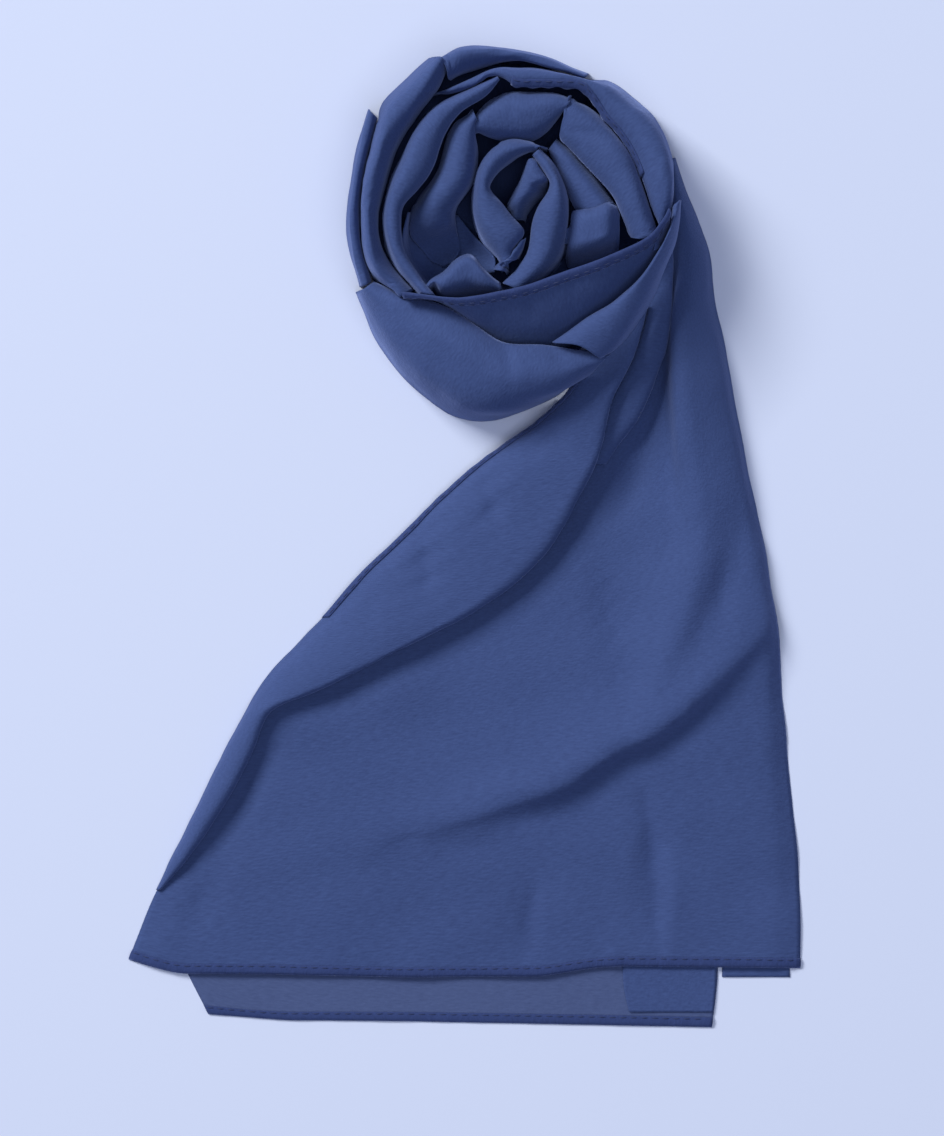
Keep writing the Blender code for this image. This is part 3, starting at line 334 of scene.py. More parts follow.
FRONT_BAND = (
    Cut((-54.0, 123.0, 1), (-48.5, 125.5, 36), (-45.0, 128.0, 28)),
    Cut((-43.5, 98.0, 1), (-35.0, 118.0, 42), (-30.5, 122.0, 36)),
    Cut((-30.0, 80.0, 1), (-20.0, 104.0, 45), (-13.0, 117.5, 38)),
    Cut((-16.0, 68.0, 1), (-4.0, 94.0, 47), (3.0, 108.5, 39)),
    Cut((-1.0, 59.5, 1), (15.0, 82.0, 47), (19.5, 97.5, 40)),
    Cut((17.5, 59.5, 2), (33.0, 80.0, 46), (40.5, 96.5, 40)),
    Cut((42.0, 69.5, 12), (54.0, 83.0, 43), (58.0, 94.0, 37)),
    Cut((64.0, 82.0, 24), (70.0, 88.5, 38), (73.5, 92.5, 33)),
)
TWIST = (
    Cut((70.5, 88.0, 32), (58.0, 96.0, 46), (44.0, 98.0, 42)),
    Cut((82.0, 101.0, 31), (71.0, 106.5, 49), (61.0, 110.0, 44)),
    Cut((92.0, 116.0, 29), (83.0, 121.0, 51), (74.0, 117.0, 45)),
    Cut((99.5, 133.0, 27), (92.5, 134.0, 52), (86.0, 128.0, 46)),
    Cut((105.5, 147.0, 26), (100.0, 147.0, 52), (95.0, 140.0, 46)),
    Cut((108.0, 158.0, 25), (104.5, 157.5, 51), (101.5, 152.5, 47)),
    Cut((108.0, 166.0, 26), (106.5, 165.5, 49), (104.5, 162.5, 46)),
)

# Tail: level cuts from the neck to the end hem
TAIL_BAND = (
    BandCut(117.0, 82.0, 24.0, 26.0, 92.5, 25.0),
    BandCut(104.0, 72.0, 23.0, 26.0, 89.5, 26.0),
    BandCut(91.0, 63.0, 22.0, 25.0, 85.5, 26.0),
    BandCut(69.0, 49.0, 15.0, 24.0, 74.0, 25.0),
    BandCut(54.0, 31.0, 9.0, 22.0, 70.5, 23.0),
    BandCut(37.5, 8.0, 5.0, 20.0, 66.5, 21.0),
    BandCut(20.5, -12.0, 4.0, 19.0, 58.0, 20.0),
    BandCut(0.5, -32.0, 3.0, 18.0, 46.5, 19.0),
    BandCut(-18.5, -52.0, 3.0, 17.0, 30.5, 18.0),
    BandCut(-36.0, -67.0, 2.0, 16.0, 7.0, 17.0),
    BandCut(-51.0, -82.0, 1.0, 15.0, -22.0, 16.0),
    BandCut(-67.0, -97.0, 0.6, 14.0, -53.5, 15.0),
    BandCut(-77.0, -103.5, 0.6, 13.0, -75.0, 14.0),
    BandCut(-86.0, -108.5, 0.6, 13.0, -96.0, 14.0),
    BandCut(-101.0, -117.0, 0.6, 12.0, -103.0, 12.5),
    BandCut(-121.0, -127.0, 0.6, 11.0, -113.0, 11.5),
    BandCut(-141.0, -137.0, 0.6, 10.0, -125.0, 10.0),
    BandCut(-156.0, -144.5, 0.8, 8.0, -135.0, 8.0),
    BandCut(-168.0, -150.5, 0.8, 6.0, -144.0, 6.0),
    BandCut(-176.0, -153.8, 0.8, 3.0, -151.2, 2.8),
)
NARROW_FOLD = (
    BandCut(146.0, 100.5, 20.0, 22.0, 104.5, 21.0),
    BandCut(122.0, 93.0, 19.0, 21.0, 104.0, 20.0),
    BandCut(99.0, 88.0, 16.0, 20.0, 102.0, 19.0),
    BandCut(79.0, 78.0, 14.0, 18.0, 95.5, 17.0),
    BandCut(61.5, 70.0, 13.0, 16.0, 88.0, 15.0),
    BandCut(49.0, 66.0, 13.0, 15.0, 79.0, 14.0),
    BandCut(37.0, 62.0, 12.5, 13.5, 71.0, 13.0),
)
TAIL_PANEL = (
    PanelCut(190.0, 103.4, 12, 103.7, 12, 104.0, 12, 104.4, 12, 104.8, 11, 105.4),
    PanelCut(172.0, 101.0, 9, 102.5, 10, 104.0, 11, 106.0, 12, 108.0, 11, 111.5),
    PanelCut(163.0, 100.0, 12, 102.5, 13, 105.0, 14, 107.5, 15, 110.5, 14, 115.5),
    PanelCut(138.0, 96.0, 14, 100.0, 13, 104.5, 14, 108.5, 17, 114.0, 17, 123.5),
    PanelCut(119.0, 93.0, 13, 98.0, 12, 102.5, 13, 106.0, 19, 113.0, 20, 125.0),
    PanelCut(96.5, 84.0, 10, 94.0, 9, 101.0, 10, 104.5, 19, 112.0, 21, 130.0),
    PanelCut(76.5, 70.5, 9, 90.5, 7, 101.0, 8, 105.0, 18, 114.0, 21, 134.0),
    PanelCut(59.0, 60.5, 8, 85.5, 6, 101.5, 8, 106.5, 17, 115.5, 20, 137.0),
    PanelCut(34.0, 42.0, 8, 78.0, 6, 103.0, 8, 109.5, 15, 118.0, 18, 142.0),
    PanelCut(9.0, 15.5, 7, 68.0, 7, 103.5, 10, 112.0, 14, 120.5, 16, 147.5),
    PanelCut(-16.0, -17.0, 7, 55.5, 8, 96.0, 11, 112.0, 14, 124.0, 14, 152.0),
    PanelCut(-41.0, -49.5, 7, 28.0, 7, 82.0, 10, 106.0, 12, 129.0, 12, 156.0),
    PanelCut(-66.0, -82.0, 6, -8.0, 7, 60.0, 9, 94.0, 10, 127.0, 11, 158.5),
    PanelCut(-91.0, -104.0, 6, -32.0, 6, 38.0, 8, 80.0, 8, 124.0, 9, 160.0),
    PanelCut(-121.0, -119.0, 4, -47.0, 6, 18.0, 7, 70.0, 7, 121.0, 7, 163.0),
    PanelCut(-146.0, -132.0, 3, -57.0, 6, 8.0, 6.5, 65.0, 6, 120.0, 6.5, 165.5),
    PanelCut(-171.0, -151.0, 2.2, -66.0, 5, 3.0, 5.5, 63.0, 5, 121.0, 5, 167.5),
    PanelCut(-191.0, -159.5, 2.6, -71.0, 4, 0.5, 4.5, 62.0, 4, 122.0, 4, 168.0),
    PanelCut(-214.0, -167.5, 2.4, -74.0, 3, 0.0, 3.0, 62.0, 3, 122.0, 3, 168.0),
)
# The end hem dips below the last cut, most at its middle left
END_HEM_DIP = (
    Dip(-168, -4), Dip(-146, 3), Dip(-102, 3.5), Dip(-32, 5),
    Dip(38, 4.5), Dip(72, -0.5), Dip(120, 0), Dip(168, 0.5),
)

UNDER_PANEL_SIDES = (
    Sides(45.0, 52.0, 122.0),
    Sides(-10.0, -8.0, 122.0),
    Sides(-60.0, -62.0, 122.0),
    Sides(-120.0, -112.0, 122.0),
    Sides(-170.0, -128.0, 124.0),
    Sides(-198.0, -138.0, 126.0),
    Sides(-215.0, -146.0, 127.0),
    Sides(-243.5, -128.0, 124.0),
)
# The under layer's end hem rises towards its left corner
UNDER_HEM_DIP = (
    Dip(-146, -24), Dip(-136, -9), Dip(-123, -4), Dip(-107, -4.5),
    Dip(-90, -3), Dip(-32, -2.5), Dip(48, -1), Dip(124, 0.5),
)
# Where the under layer's right corner is folded over once more
RIGHT_DOUBLING_SIDES = (
    Sides(-210.0, 79.0, 126.5),
    Sides(-226.0, 80.0, 125.5),
    Sides(-237.0, 82.5, 124.5),
)
DOUBLING_HEIGHT = 1.35
TURNED_EDGE_SIDES = (
    Sides(-70.0, 138.0, 152.0),
    Sides(-150.0, 131.0, 160.0),
    Sides(-219.5, 129.0, 163.0),
)

TAIL_FOLDS = (
    # The long diagonal fold from the right edge towards the middle
    Fold(((158, -36), (140, -56), (120, -76), (97, -95), (70, -108), (50, -122), (14, -134), (-25, -148)),
         6.5, 8.0, 26.0),
    # The broad soft ridge that runs down the middle
    Fold(((116, -10), (104, -45), (90, -75)), 3.0, 16.0, 14.0),
    # Two soft valleys beside that ridge
    Fold(((71, -10), (75, -40), (79, -68)), -3.0, 9.0, 9.0),
    Fold(((136, 8), (132, -20), (121, -48)), -3.0, 7.0, 8.0),
    # Upright folds over the end hem
    Fold(((92, -120), (95, -150), (96, -205)), -2.0, 6.0, 6.0),
    Fold(((36, -170), (33, -206)), -1.6, 7.0, 7.0),
    Fold(((-128, -160), (-136, -200)), -1.5, 9.0, 9.0),
)
PANEL_CREASES = (
    # The dark side of the long diagonal fold
    Fold(((158, -37), (140, -57), (120, -77), (97, -96), (70, -109), (50, -123), (14, -135), (-20, -146)),
         3.2, 3.6, 16.0),
    Fold(((150, -54), (128, -78), (104, -101), (76, -117), (52, -131), (20, -143)), -2.2, 6.0, 6.0),
    # The bright ridge above it and the hollow on its left
    Fold(((118, -12), (110, -40), (96, -68), (86, -84)), 1.8, 7.0, 9.0),
    Fold(((84, 0), (86, -30), (88, -60), (80, -88)), -1.4, 8.0, 8.0),
    # Upright folds that reach the end hem
    Fold(((90, -122), (93, -148), (93, -166)), -1.6, 4.0, 5.0),
    Fold(((96.5, -150), (98, -180), (98, -208)), -1.8, 2.4, 5.0),
    Fold(((103, -148), (104, -180), (103, -208)), 1.2, 5.0, 5.0),
    Fold(((37, -172), (33, -190), (32, -207)), -1.5, 3.6, 4.0),
    Fold(((74, -205), (75, -216)), 1.2, 3.0, 3.0),
    # The hollow inside the lower left edge
    Fold(((-106, -114), (-116, -138), (-124, -160)), -1.8, 8.0, 8.0),
    # The deep valley at the neck and the lip on its right
    Fold(((96, 100), (95, 80), (92, 58), (86, 36), (78, 12)), -2.8, 6.0, 8.0),
    Fold(((104, 118), (103.5, 95), (104, 70), (106, 45), (108, 18)), 2.2, 8.0, 2.2),
    # Soft dents under the folded band
    Fold(((10, -40), (-20, -58), (-60, -76), (-95, -90)), -1.4, 7.0, 9.0),
    Fold(((-92, -100), (-104, -118), (-112, -140)), -1.6, 7.0, 7.0),
)
BAND_CREASES = (
    # Pulled creases that run from the lip to the hem
    Fold(((38, 57), (44, 50), (52, 40)), -1.2, 2.6, 4.0),
    Fold(((8, 33), (14, 20), (18, 4)), -1.5, 3.0, 5.0),
    Fold(((-22, 8), (-18, -8), (-18, -26)), -1.5, 3.0, 5.0),
    Fold(((-52, -20), (-46, -32), (-44, -46)), -0.9, 3.0, 5.0),
)
BAND_FOLDS = (
    # Pulled creases that cross the band
    Fold(((36, 56), (44, 48)), -1.6, 5.0, 5.0),
    Fold(((9, 31), (16, 8)), -2.0, 6.0, 6.0),
    Fold(((-20, 10), (-18, -30)), -2.2, 7.0, 7.0),
)

FRONT_BAND_CREASES = (
    Fold(((-43, 114), (-30, 97), (-12, 79), (4, 66)), -0.9, 2.5, 5.0),
    Fold(((19, 97), (22, 88), (24, 76)), -1.3, 2.6, 4.5),
    Fold(((-20, 108), (-2, 92), (8, 76)), 0.7, 5.0, 5.0),
    Fold(((42, 90), (52, 84)), -0.8, 2.5, 3.5),
)
FRONT_WRAP_CREASES = (
    Fold(((13, 117), (14, 104)), -0.9, 2.0, 3.0),
    Fold(((31, 118), (33, 102)), -0.9, 2.5, 3.0),
    Fold(((52, 124), (54, 110)), -0.6, 2.5, 3.0),
)
RIGHT_PETAL_CREASES = (
    Fold(((54, 199), (64, 197), (74, 193)), -0.9, 1.6, 3.0),
    Fold(((66, 190), (78, 178)), 0.5, 3.0, 3.0),
)
INNER_WRAP_TOP_CREASES = (
    Fold(((23, 213), (24, 206)), -1.0, 1.6, 2.6),
)


def cubic(start: np.ndarray, rise_in: np.ndarray, end: np.ndarray, rise_out: np.ndarray,
          share: np.ndarray) -> np.ndarray:
    """Read a smooth curve between two points.

    Args:
        start: The first point.
        rise_in: How the curve leaves it.
        end: The last point.
        rise_out: How the curve reaches it.
        share: Place between them, from 0 to 1.

    Returns:
        The points at those places.
    """
    return (
        (2 * share**3 - 3 * share**2 + 1) * start
        + (share**3 - 2 * share**2 + share) * rise_in
        + (3 * share**2 - 2 * share**3) * end
        + (share**3 - share**2) * rise_out
    )


def smooth_rows(rows: np.ndarray, count: int) -> np.ndarray:
    """Read a smooth curve through a table's rows at even steps.

    Args:
        rows: The table, one row for each named place.
        count: How many rows to return.

    Returns:
        The evenly spaced rows.
    """
    rows = np.asarray(rows, dtype=float)
    steps = np.linalg.norm(np.diff(rows, axis=0), axis=1)
    knots = np.concatenate([[0.0], np.cumsum(np.maximum(steps, 1e-6))])
    slopes = np.empty_like(rows)
    slopes[1:-1] = (rows[2:] - rows[:-2]) / (knots[2:] - knots[:-2])[:, None]
    slopes[0] = (rows[1] - rows[0]) / (knots[1] - knots[0])
    slopes[-1] = (rows[-1] - rows[-2]) / (knots[-1] - knots[-2])
    at = np.linspace(0.0, knots[-1], count)
    span = np.clip(np.searchsorted(knots, at, side="right") - 1, 0, len(rows) - 2)
    width = (knots[span + 1] - knots[span])[:, None]
    share = (at[:, None] - knots[span][:, None]) / width
    return cubic(rows[span], slopes[span] * width, rows[span + 1], slopes[span + 1] * width, share)


def shoulder(low: np.ndarray, high: np.ndarray) -> np.ndarray:
    """Return the shoulder of a soft fold between its low end and its crest."""
    return np.array([
        low[0] + (high[0] - low[0]) * SHOULDER_IN,
        low[1] + (high[1] - low[1]) * SHOULDER_IN,
        low[2] + (high[2] - low[2]) * SHOULDER_UP,
    ])


def wrap_grid(cuts: Sequence[Cut], along: int, across: int, soft: bool = True) -> np.ndarray:
    """Return the middle surface of a wrap, a smooth arch through each cut.

    Args:
        cuts: The wrap's cuts in order.
        along: Points along the wrap.
        across: Points across it.
        soft: Whether the arch has rounded shoulders.

    Returns:
        A grid of points, along by across.
    """
    rows = smooth_rows([np.concatenate([cut.foot, cut.crest, cut.toe]) for cut in cuts], along)
    grid = []
    for row in rows:
        foot, crest, toe = row[0:3], row[3:6], row[6:9]
        arch = [foot, shoulder(foot, crest), crest, shoulder(toe, crest), toe] if soft else [foot, crest, toe]
        grid.append(smooth_rows(arch, across))
    return np.array(grid)


def band_grid(cuts: Sequence[BandCut], along: int, across: int) -> np.ndarray:
    """Return the middle surface of a tail band whose right edge turns under in a round lip.

    Args:
        cuts: The band's level cuts in order.
        along: Points down the band.
        across: Points across it.

    Returns:
        A grid of points, along by across.
    """
    grid = []
    for y, left, left_z, crown_z, lip, lip_z in smooth_rows(cuts, along):
        width = lip - left
        turn = min(LIP_RADIUS, width * LIP_SHARE)
        arch = [
            (left, y, left_z),
            (left + width * 0.16, y, left_z + (crown_z - left_z) * 0.62),
            (left + width * 0.50, y, crown_z),
            (lip - turn, y, lip_z),
            (lip, y, lip_z - turn),
            (lip - turn, y, lip_z - 2 * turn),
            (lip - turn * 2.2, y, lip_z - 2 * turn),
        ]
        grid.append(smooth_rows(arch, across))
    return np.array(grid)


def panel_grid(cuts: Sequence[PanelCut], along: int, across: int) -> np.ndarray:
    """Return the middle surface of the wide panel, its two edges turned down to the table.

    Args:
        cuts: The panel's level cuts in order.
        along: Points down the panel.
        across: Points across it.

    Returns:
        A grid of points, along by across.
    """
    grid = []
    for row in smooth_rows(cuts, along):
        cut = PanelCut(*row)
        tuck = min(TUCK, (cut.edge - cut.crown) * TUCK_SHARE)
        line = [
            (cut.left, cut.y, FRAME_PLY * 0.5 if cut.y < FLAT_BELOW else cut.left_z),
            (cut.left + tuck, cut.y, cut.left_z),
            (cut.valley, cut.y, cut.valley_z),
            (cut.step, cut.y, cut.step_z),
            (cut.brow, cut.y, cut.brow_z),
            (cut.crown, cut.y, cut.crown_z),
            (cut.edge - tuck, cut.y, cut.crown_z * 0.55 + 1.0),
            (cut.edge, cut.y, FRAME_PLY * 0.5),
        ]
        grid.append(smooth_rows(line, across))
    return np.array(grid)


def flat_grid(sides: Sequence[tuple], along: int, across: int, height: float) -> np.ndarray:
    """Return a flat sheet between the left and right sides that a table gives."""
    rows = smooth_rows(sides, along)
    share = np.linspace(0.0, 1.0, across)
    return np.array([[(left + (right - left) * s, y, height) for s in share] for y, left, right in rows])


def dip_end(grid: np.ndarray, dips: Sequence[tuple], reach: int) -> np.ndarray:
    """Move a grid's last rows along Y so that its end follows a table of x and dip."""
    table = np.asarray(dips, dtype=float)
    for back in range(reach):
        row = grid[-1 - back]
        row[:, 1] -= np.interp(row[:, 0], table[:, 0], table[:, 1]) * (1.0 - back / reach)
    return grid


def add_folds(grid: np.ndarray, folds: Sequence[Fold], route_points: int = 90) -> np.ndarray:
    """Raise or lower a grid along each fold's route, fading at the route's ends.

    Args:
        grid: The sheet's middle surface.
        folds: The folds to add.
        route_points: How finely each route is read.

    Returns:
        The changed grid.
    """
    last = route_points - 1
    for fold in folds:
        route = smooth_rows(fold.route, route_points)
        heading = np.gradient(route, axis=0)
        heading /= np.linalg.norm(heading, axis=1)[:, None]
        offset = grid[:, :, None, :2] - route[None, None]
        nearest = np.argmin(np.sum(offset**2, axis=3), axis=2)
        near = np.take_along_axis(offset, nearest[:, :, None, None], axis=2)[:, :, 0]
        along = heading[nearest]
        side = along[..., 0] * near[..., 1] - along[..., 1] * near[..., 0]
        distance = np.linalg.norm(near, axis=2)
        reach = np.where(side > 0, fold.left_reach, fold.right_reach)
        fade = np.sin(np.pi * np.clip(nearest / last * 0.8 + 0.1, 0.0, 1.0))
        grid[:, :, 2] += fold.rise * np.exp(-((distance / reach) ** 2)) * fade
    return grid


def extend_ends(grid: np.ndarray, reach: tuple) -> np.ndarray:
    """Run a grid on past its first and last rows, in the direction in which they end.

    Args:
        grid: The grid.
        reach: How far to run on at the start and at the end, mm.

    Returns:
        The longer grid.
    """
    for end, length in enumerate(reach):
        if length <= 0.0:
            continue
        line = grid if end == 0 else grid[::-1]
        heading = (line[0] - line[1]).mean(axis=0)
        heading /= np.linalg.norm(heading)
        added = [line[0] + heading * length * share for share in (1.0, 0.5)]
        line = np.concatenate([added, line])
        grid = line if end == 0 else line[::-1]
    return grid


def true_place(grid: np.ndarray) -> np.ndarray:
    """Turn places as they look from above into real ones: high points lie a little further in."""
    share = (LOOK_HEIGHT - grid[..., 2:3]) / LOOK_HEIGHT
    grid = grid.copy()
    grid[..., :2] = LOOK_SPOT + (grid[..., :2] - LOOK_SPOT) * share
    return grid


def grid_normals(grid: np.ndarray) -> np.ndarray:
    """Return unit normals of a grid, on the cloth's upper or outer side."""
    normals = np.cross(np.gradient(grid, axis=1), np.gradient(grid, axis=0))
    return normals / np.maximum(np.linalg.norm(normals, axis=2), 1e-9)[..., None]


def resample(grid: np.ndarray, count: int, axis: int) -> np.ndarray:
    """Read a grid more finely along one axis, on smooth curves through its points.

    Args:
        grid: The coarse grid.
        count: Points wanted along the axis.
        axis: 0 along, 1 across.

    Returns:
        The finer grid.
    """
    lines = np.moveaxis(grid, axis, 0)
    total = len(lines)
    slopes = np.gradient(lines, axis=0)
    at = np.linspace(0.0, total - 1.0, count)
    span = np.clip(at.astype(int), 0, total - 2)
    share = (at - span).reshape((-1,) + (1,) * (lines.ndim - 1))
    fine = cubic(lines[span], slopes[span], lines[span + 1], slopes[span + 1], share)
    return np.moveaxis(fine, 0, axis)


def arc_sizes(grid: np.ndarray) -> tuple:
    """Return a grid's mean way across, mean way along and area, in metres."""
    across = np.linalg.norm(np.diff(grid, axis=1), axis=2).sum(axis=1).mean() * MM
    along = np.linalg.norm(np.diff(grid, axis=0), axis=2).sum(axis=0).mean() * MM
    one = np.cross(grid[1:, :-1] - grid[:-1, :-1], grid[:-1, 1:] - grid[:-1, :-1])
    two = np.cross(grid[1:, :-1] - grid[1:, 1:], grid[:-1, 1:] - grid[1:, 1:])
    area = (np.linalg.norm(one, axis=2).sum() + np.linalg.norm(two, axis=2).sum()) * 0.5 * MM * MM
    return across, along, min(area, across * along)


class Obstacles:
    """The walls already laid, so that each new stretch is eased off them."""

    def __init__(self) -> None:
        """Start with no walls."""
        self.trees: list[tuple[np.ndarray, np.ndarray, BVHTree]] = []

    def add_wall(self, points: np.ndarray, faces: list) -> None:
        """Remember one closed wall."""
        tree = BVHTree.FromPolygons(points.tolist(), faces)
        self.trees.append((points.min(axis=0), points.max(axis=0), tree))

    def near(self, grid: np.ndarray, margin: float) -> list[BVHTree]:
        """Return the walls whose boxes lie within a margin of the grid's box."""
        low, high = grid.min(axis=(0, 1)) - margin, grid.max(axis=(0, 1)) + margin
        return [tree for start, end, tree in self.trees if np.all(start <= high) and np.all(end >= low)]

    def keep_apart(self, grid: np.ndarray, clearance: float, rounds: int = 14) -> np.ndarray:
        """Ease a sheet off the walls until it clears them.

        Args:
            grid: The sheet's middle surface.
            clearance: Distance to keep from each wall, mm.
            rounds: Most rounds of easing.

        Returns:
            The eased grid.
        """
        grid = grid.copy()
        trees = self.near(grid, clearance * NEAR)
        weights = ((0.4, 0.7, 0.4), (0.7, 1.0, 0.7), (0.4, 0.7, 0.4))
        watched = None
        for _ in range(rounds):
            points = resample_midpoints(grid)
            if watched is None:
                watched = [index for index in np.ndindex(points.shape[:2])
                           if any(tree.find_nearest(Vector(points[index]), WATCH_REACH)[0] for tree in trees)]
            pushes = np.zeros_like(points)
            moved = False
            for index in watched:
                push = push_from(points[index], trees, clearance)
                if push is not None:
                    pushes[index] = push
                    moved = True
            if not moved:
                break
            padded = np.pad(pushes, ((1, 1), (1, 1), (0, 0)))
            spread = np.zeros_like(grid)
            for i in range(3):
                for j in range(3):
                    spread += weights[i][j] * padded[i:i + pushes.shape[0]:2, j:j + pushes.shape[1]:2]
            grid += spread * PUSH_SHARE
            grid[..., 2] = np.maximum(grid[..., 2], SHELL_PLY * 0.5)
        return grid

    def trim_legs(self, grid: np.ndarray, clearance: float, fineness: int = 41,
                  least: float = 0.1) -> np.ndarray:
        """Shorten each cut's legs to where they clear the walls that are already laid.

        Args:
            grid: The wrap's middle surface.
            clearance: Distance to keep from each wall, mm.
            fineness: Points read on each cut.
            least: Smallest share of a cut that stays to each side of its clear middle.

        Returns:
            The trimmed grid.
        """
        trees = self.near(grid, clearance * NEAR)
        rows = resample_midpoints(grid)[:, ::2]
        dense = np.array([smooth_rows(row, fineness) for row in rows])
        spans = np.array([clear_span(line, trees, clearance) for line in dense], dtype=float)
        first = widest(spans[:, 0])[::2]
        last = fineness - 1 - widest(fineness - 1 - spans[:, 1])[::2]
        middle = np.clip((first + last) * 0.5, least * fineness, (1.0 - least) * fineness - 1)
        half = np.maximum((last - first) * 0.5, least * fineness)
        first, last = np.maximum(middle - half, 0), np.minimum(middle + half, fineness - 1)
        lines = zip(dense[::2], first, last)
        return np.array([read_part(line, a, b, grid.shape[1]) for line, a, b in lines])

    def seat_foot(self, grid: np.ndarray) -> np.ndarray:
        """Lower a wrap's outer foot, its first column, until it stands on what lies under it."""
        grid = grid.copy()
        down = Vector((0.0, 0.0, -1.0))
        trees = self.near(grid, SEAT_WATCH)
        sideways = grid_normals(grid)[:, 0] * (FRAME_PLY * 0.5 + SEAM_GAP)
        sideways[:, 2] = 0.0
        drops = []
        for foot, side in zip(grid[:, 0], sideways):
            room = foot[2] - FLOOR_GAP
            for start in (foot, foot + side, foot - side):
                for tree in trees:
                    hit = tree.ray_cast(Vector(start), down, foot[2])
                    if hit[0] is not None:
                        room = min(room, hit[3] - SEAT_GAP)
            drops.append(max(room, 0.0))
        padded = np.pad(drops, 1, mode="edge")
        safe = np.minimum(np.minimum(padded[:-2], padded[1:-1]), padded[2:])
        for column, share in enumerate(FOOT_SHARES):
            grid[:, column, 2] -= safe * share
        return grid


def resample_midpoints(grid: np.ndarray) -> np.ndarray:
    """Return the grid with a row and a column of midpoints between each two."""
    rows = np.empty((2 * grid.shape[0] - 1, grid.shape[1], 3))
    rows[::2] = grid
    rows[1::2] = (grid[1:] + grid[:-1]) * 0.5
    points = np.empty((rows.shape[0], 2 * grid.shape[1] - 1, 3))
    points[:, ::2] = rows
    points[:, 1::2] = (rows[:, 1:] + rows[:, :-1]) * 0.5
    return points


def push_from(point: np.ndarray, trees: Sequence[BVHTree], clearance: float) -> Optional[np.ndarray]:
    """Return how far a point has to move to clear every wall, or None where it does."""
    here = Vector(point)
    push = None
    for tree in trees:
        spot, normal, _, distance = tree.find_nearest(here, clearance * NEAR)
        if spot is None:
            continue
        inside = (here - spot).dot(normal) < 0.0
        short = clearance + distance if inside else clearance - distance
        if short <= 0.0:
            continue
        away = np.array(normal) if inside or distance < 1e-4 else np.array(here - spot) / distance
        push = away * short if push is None else push + away * short
    return push


def widest(values: np.ndarray, reach: int = 2) -> np.ndarray:
    """Return a smooth curve that nowhere lies under the values."""
    high = neighbours(values, reach).max(axis=1)
    return neighbours(high, reach).mean(axis=1)


def neighbours(values: np.ndarray, reach: int) -> np.ndarray:
    """Return a row for each value, with the values up to a number of places before and after it."""
    padded = np.pad(values, reach, mode="edge")
    return np.lib.stride_tricks.sliding_window_view(padded, 2 * reach + 1)


def read_part(line: np.ndarray, first: float, last: float, count: int) -> np.ndarray:
    """Read a line between two places on it, given as point numbers with fractions."""
    at = np.linspace(first, last, count)
    steps = np.arange(len(line))
    return np.stack([np.interp(at, steps, line[:, k]) for k in range(3)], axis=1)


def clear_span(line: np.ndarray, trees: Sequence[BVHTree], clearance: float) -> tuple:
    """Return the first and last point of a line that clear every wall, outwards from its middle."""
    clear = [push_from(point, trees, clearance) is None for point in line]
    middle = min(range(len(line)), key=lambda j: (not clear[j], abs(j - len(line) // 2)))
    first = last = middle
    while first > 0 and clear[first - 1]:
        first -= 1
    while last < len(line) - 1 and clear[last + 1]:
        last += 1
    return first, last


def wall_mesh(grid: np.ndarray, ply: float) -> tuple:
    """Return the points and quads of a closed wall, half its thickness to each side.

    Args:
        grid: The middle surface, mm.
        ply: Thickness, mm.

    Returns:
        Points, quads and, for each point, its place along and across in mm.
    """
    rows, columns = grid.shape[:2]
    normals = grid_normals(grid)
    upper, lower = grid + normals * ply * 0.5, grid - normals * ply * 0.5
    for side in (upper, lower):
        side[..., 2] = np.maximum(side[..., 2], 0.0)
    points = np.concatenate([upper.reshape(-1, 3), lower.reshape(-1, 3)])
    index = np.arange(rows * columns).reshape(rows, columns)
    a, b, c, d = index[:-1, :-1], index[1:, :-1], index[1:, 1:], index[:-1, 1:]
    top = np.stack([a, b, c, d], axis=-1).reshape(-1, 4)
    base = np.stack([a, d, c, b], axis=-1).reshape(-1, 4) + rows * columns
    ring = np.concatenate([index[:, 0], index[-1, 1:], index[-2::-1, -1], index[0, -2:0:-1]])
    after = np.roll(ring, -1)
    rim = np.stack([ring, ring + rows * columns, after + rows * columns, after], axis=-1)
    quads = np.concatenate([top, base, rim])
    down = np.pad(np.linalg.norm(np.diff(grid, axis=0), axis=2).mean(axis=1).cumsum(), (1, 0))
    over = np.pad(np.linalg.norm(np.diff(grid, axis=1), axis=2).mean(axis=0).cumsum(), (1, 0))
    place = np.stack(np.meshgrid(down, over, indexing="ij"), axis=-1).reshape(-1, 2)
    return points, quads, np.concatenate([place, place])


def outward(points: np.ndarray, quads: np.ndarray) -> np.ndarray:
    """Turn all quads over if the closed wall is inside out."""
    a, b, c, d = (points[quads[:, k]] for k in range(4))
    volume = np.einsum("ij,ij->i", a, np.cross(b, c)).sum() + np.einsum("ij,ij->i", a, np.cross(c, d)).sum()
    return quads if volume > 0 else quads[:, ::-1]


def undulation(points: np.ndarray, waves: int, length: float, height: float, seed: int) -> np.ndarray:
    """Return a gentle uneven height for each point, from waves in many directions.

    Args:
        points: Points in mm.
        waves: How many waves are added.
        length: Typical wave length, mm.
        height: Typical height, mm.
        seed: Fixes the draw.

    Returns:
        One height for each point.
    """
    draw = np.random.default_rng(seed)
    total = np.zeros(points.shape[:-1])
    for _ in range(waves):
        heading = draw.normal(size=3)
        heading /= np.linalg.norm(heading)
        reach = length * draw.uniform(0.6, 1.6)
        total += np.sin(points @ heading * 2 * math.pi / reach + draw.uniform(0, 2 * math.pi))
    return total * height / math.sqrt(waves)


def srgb(code: str) -> tuple:
    """Turn an sRGB hex value into a linear colour with alpha 1."""
    parts = [int(code[k:k + 2], 16) / 255.0 for k in (1, 3, 5)]
    return tuple(v / 12.92 if v <= 0.04045 else ((v + 0.055) / 1.055) ** 2.4 for v in parts) + (1.0,)


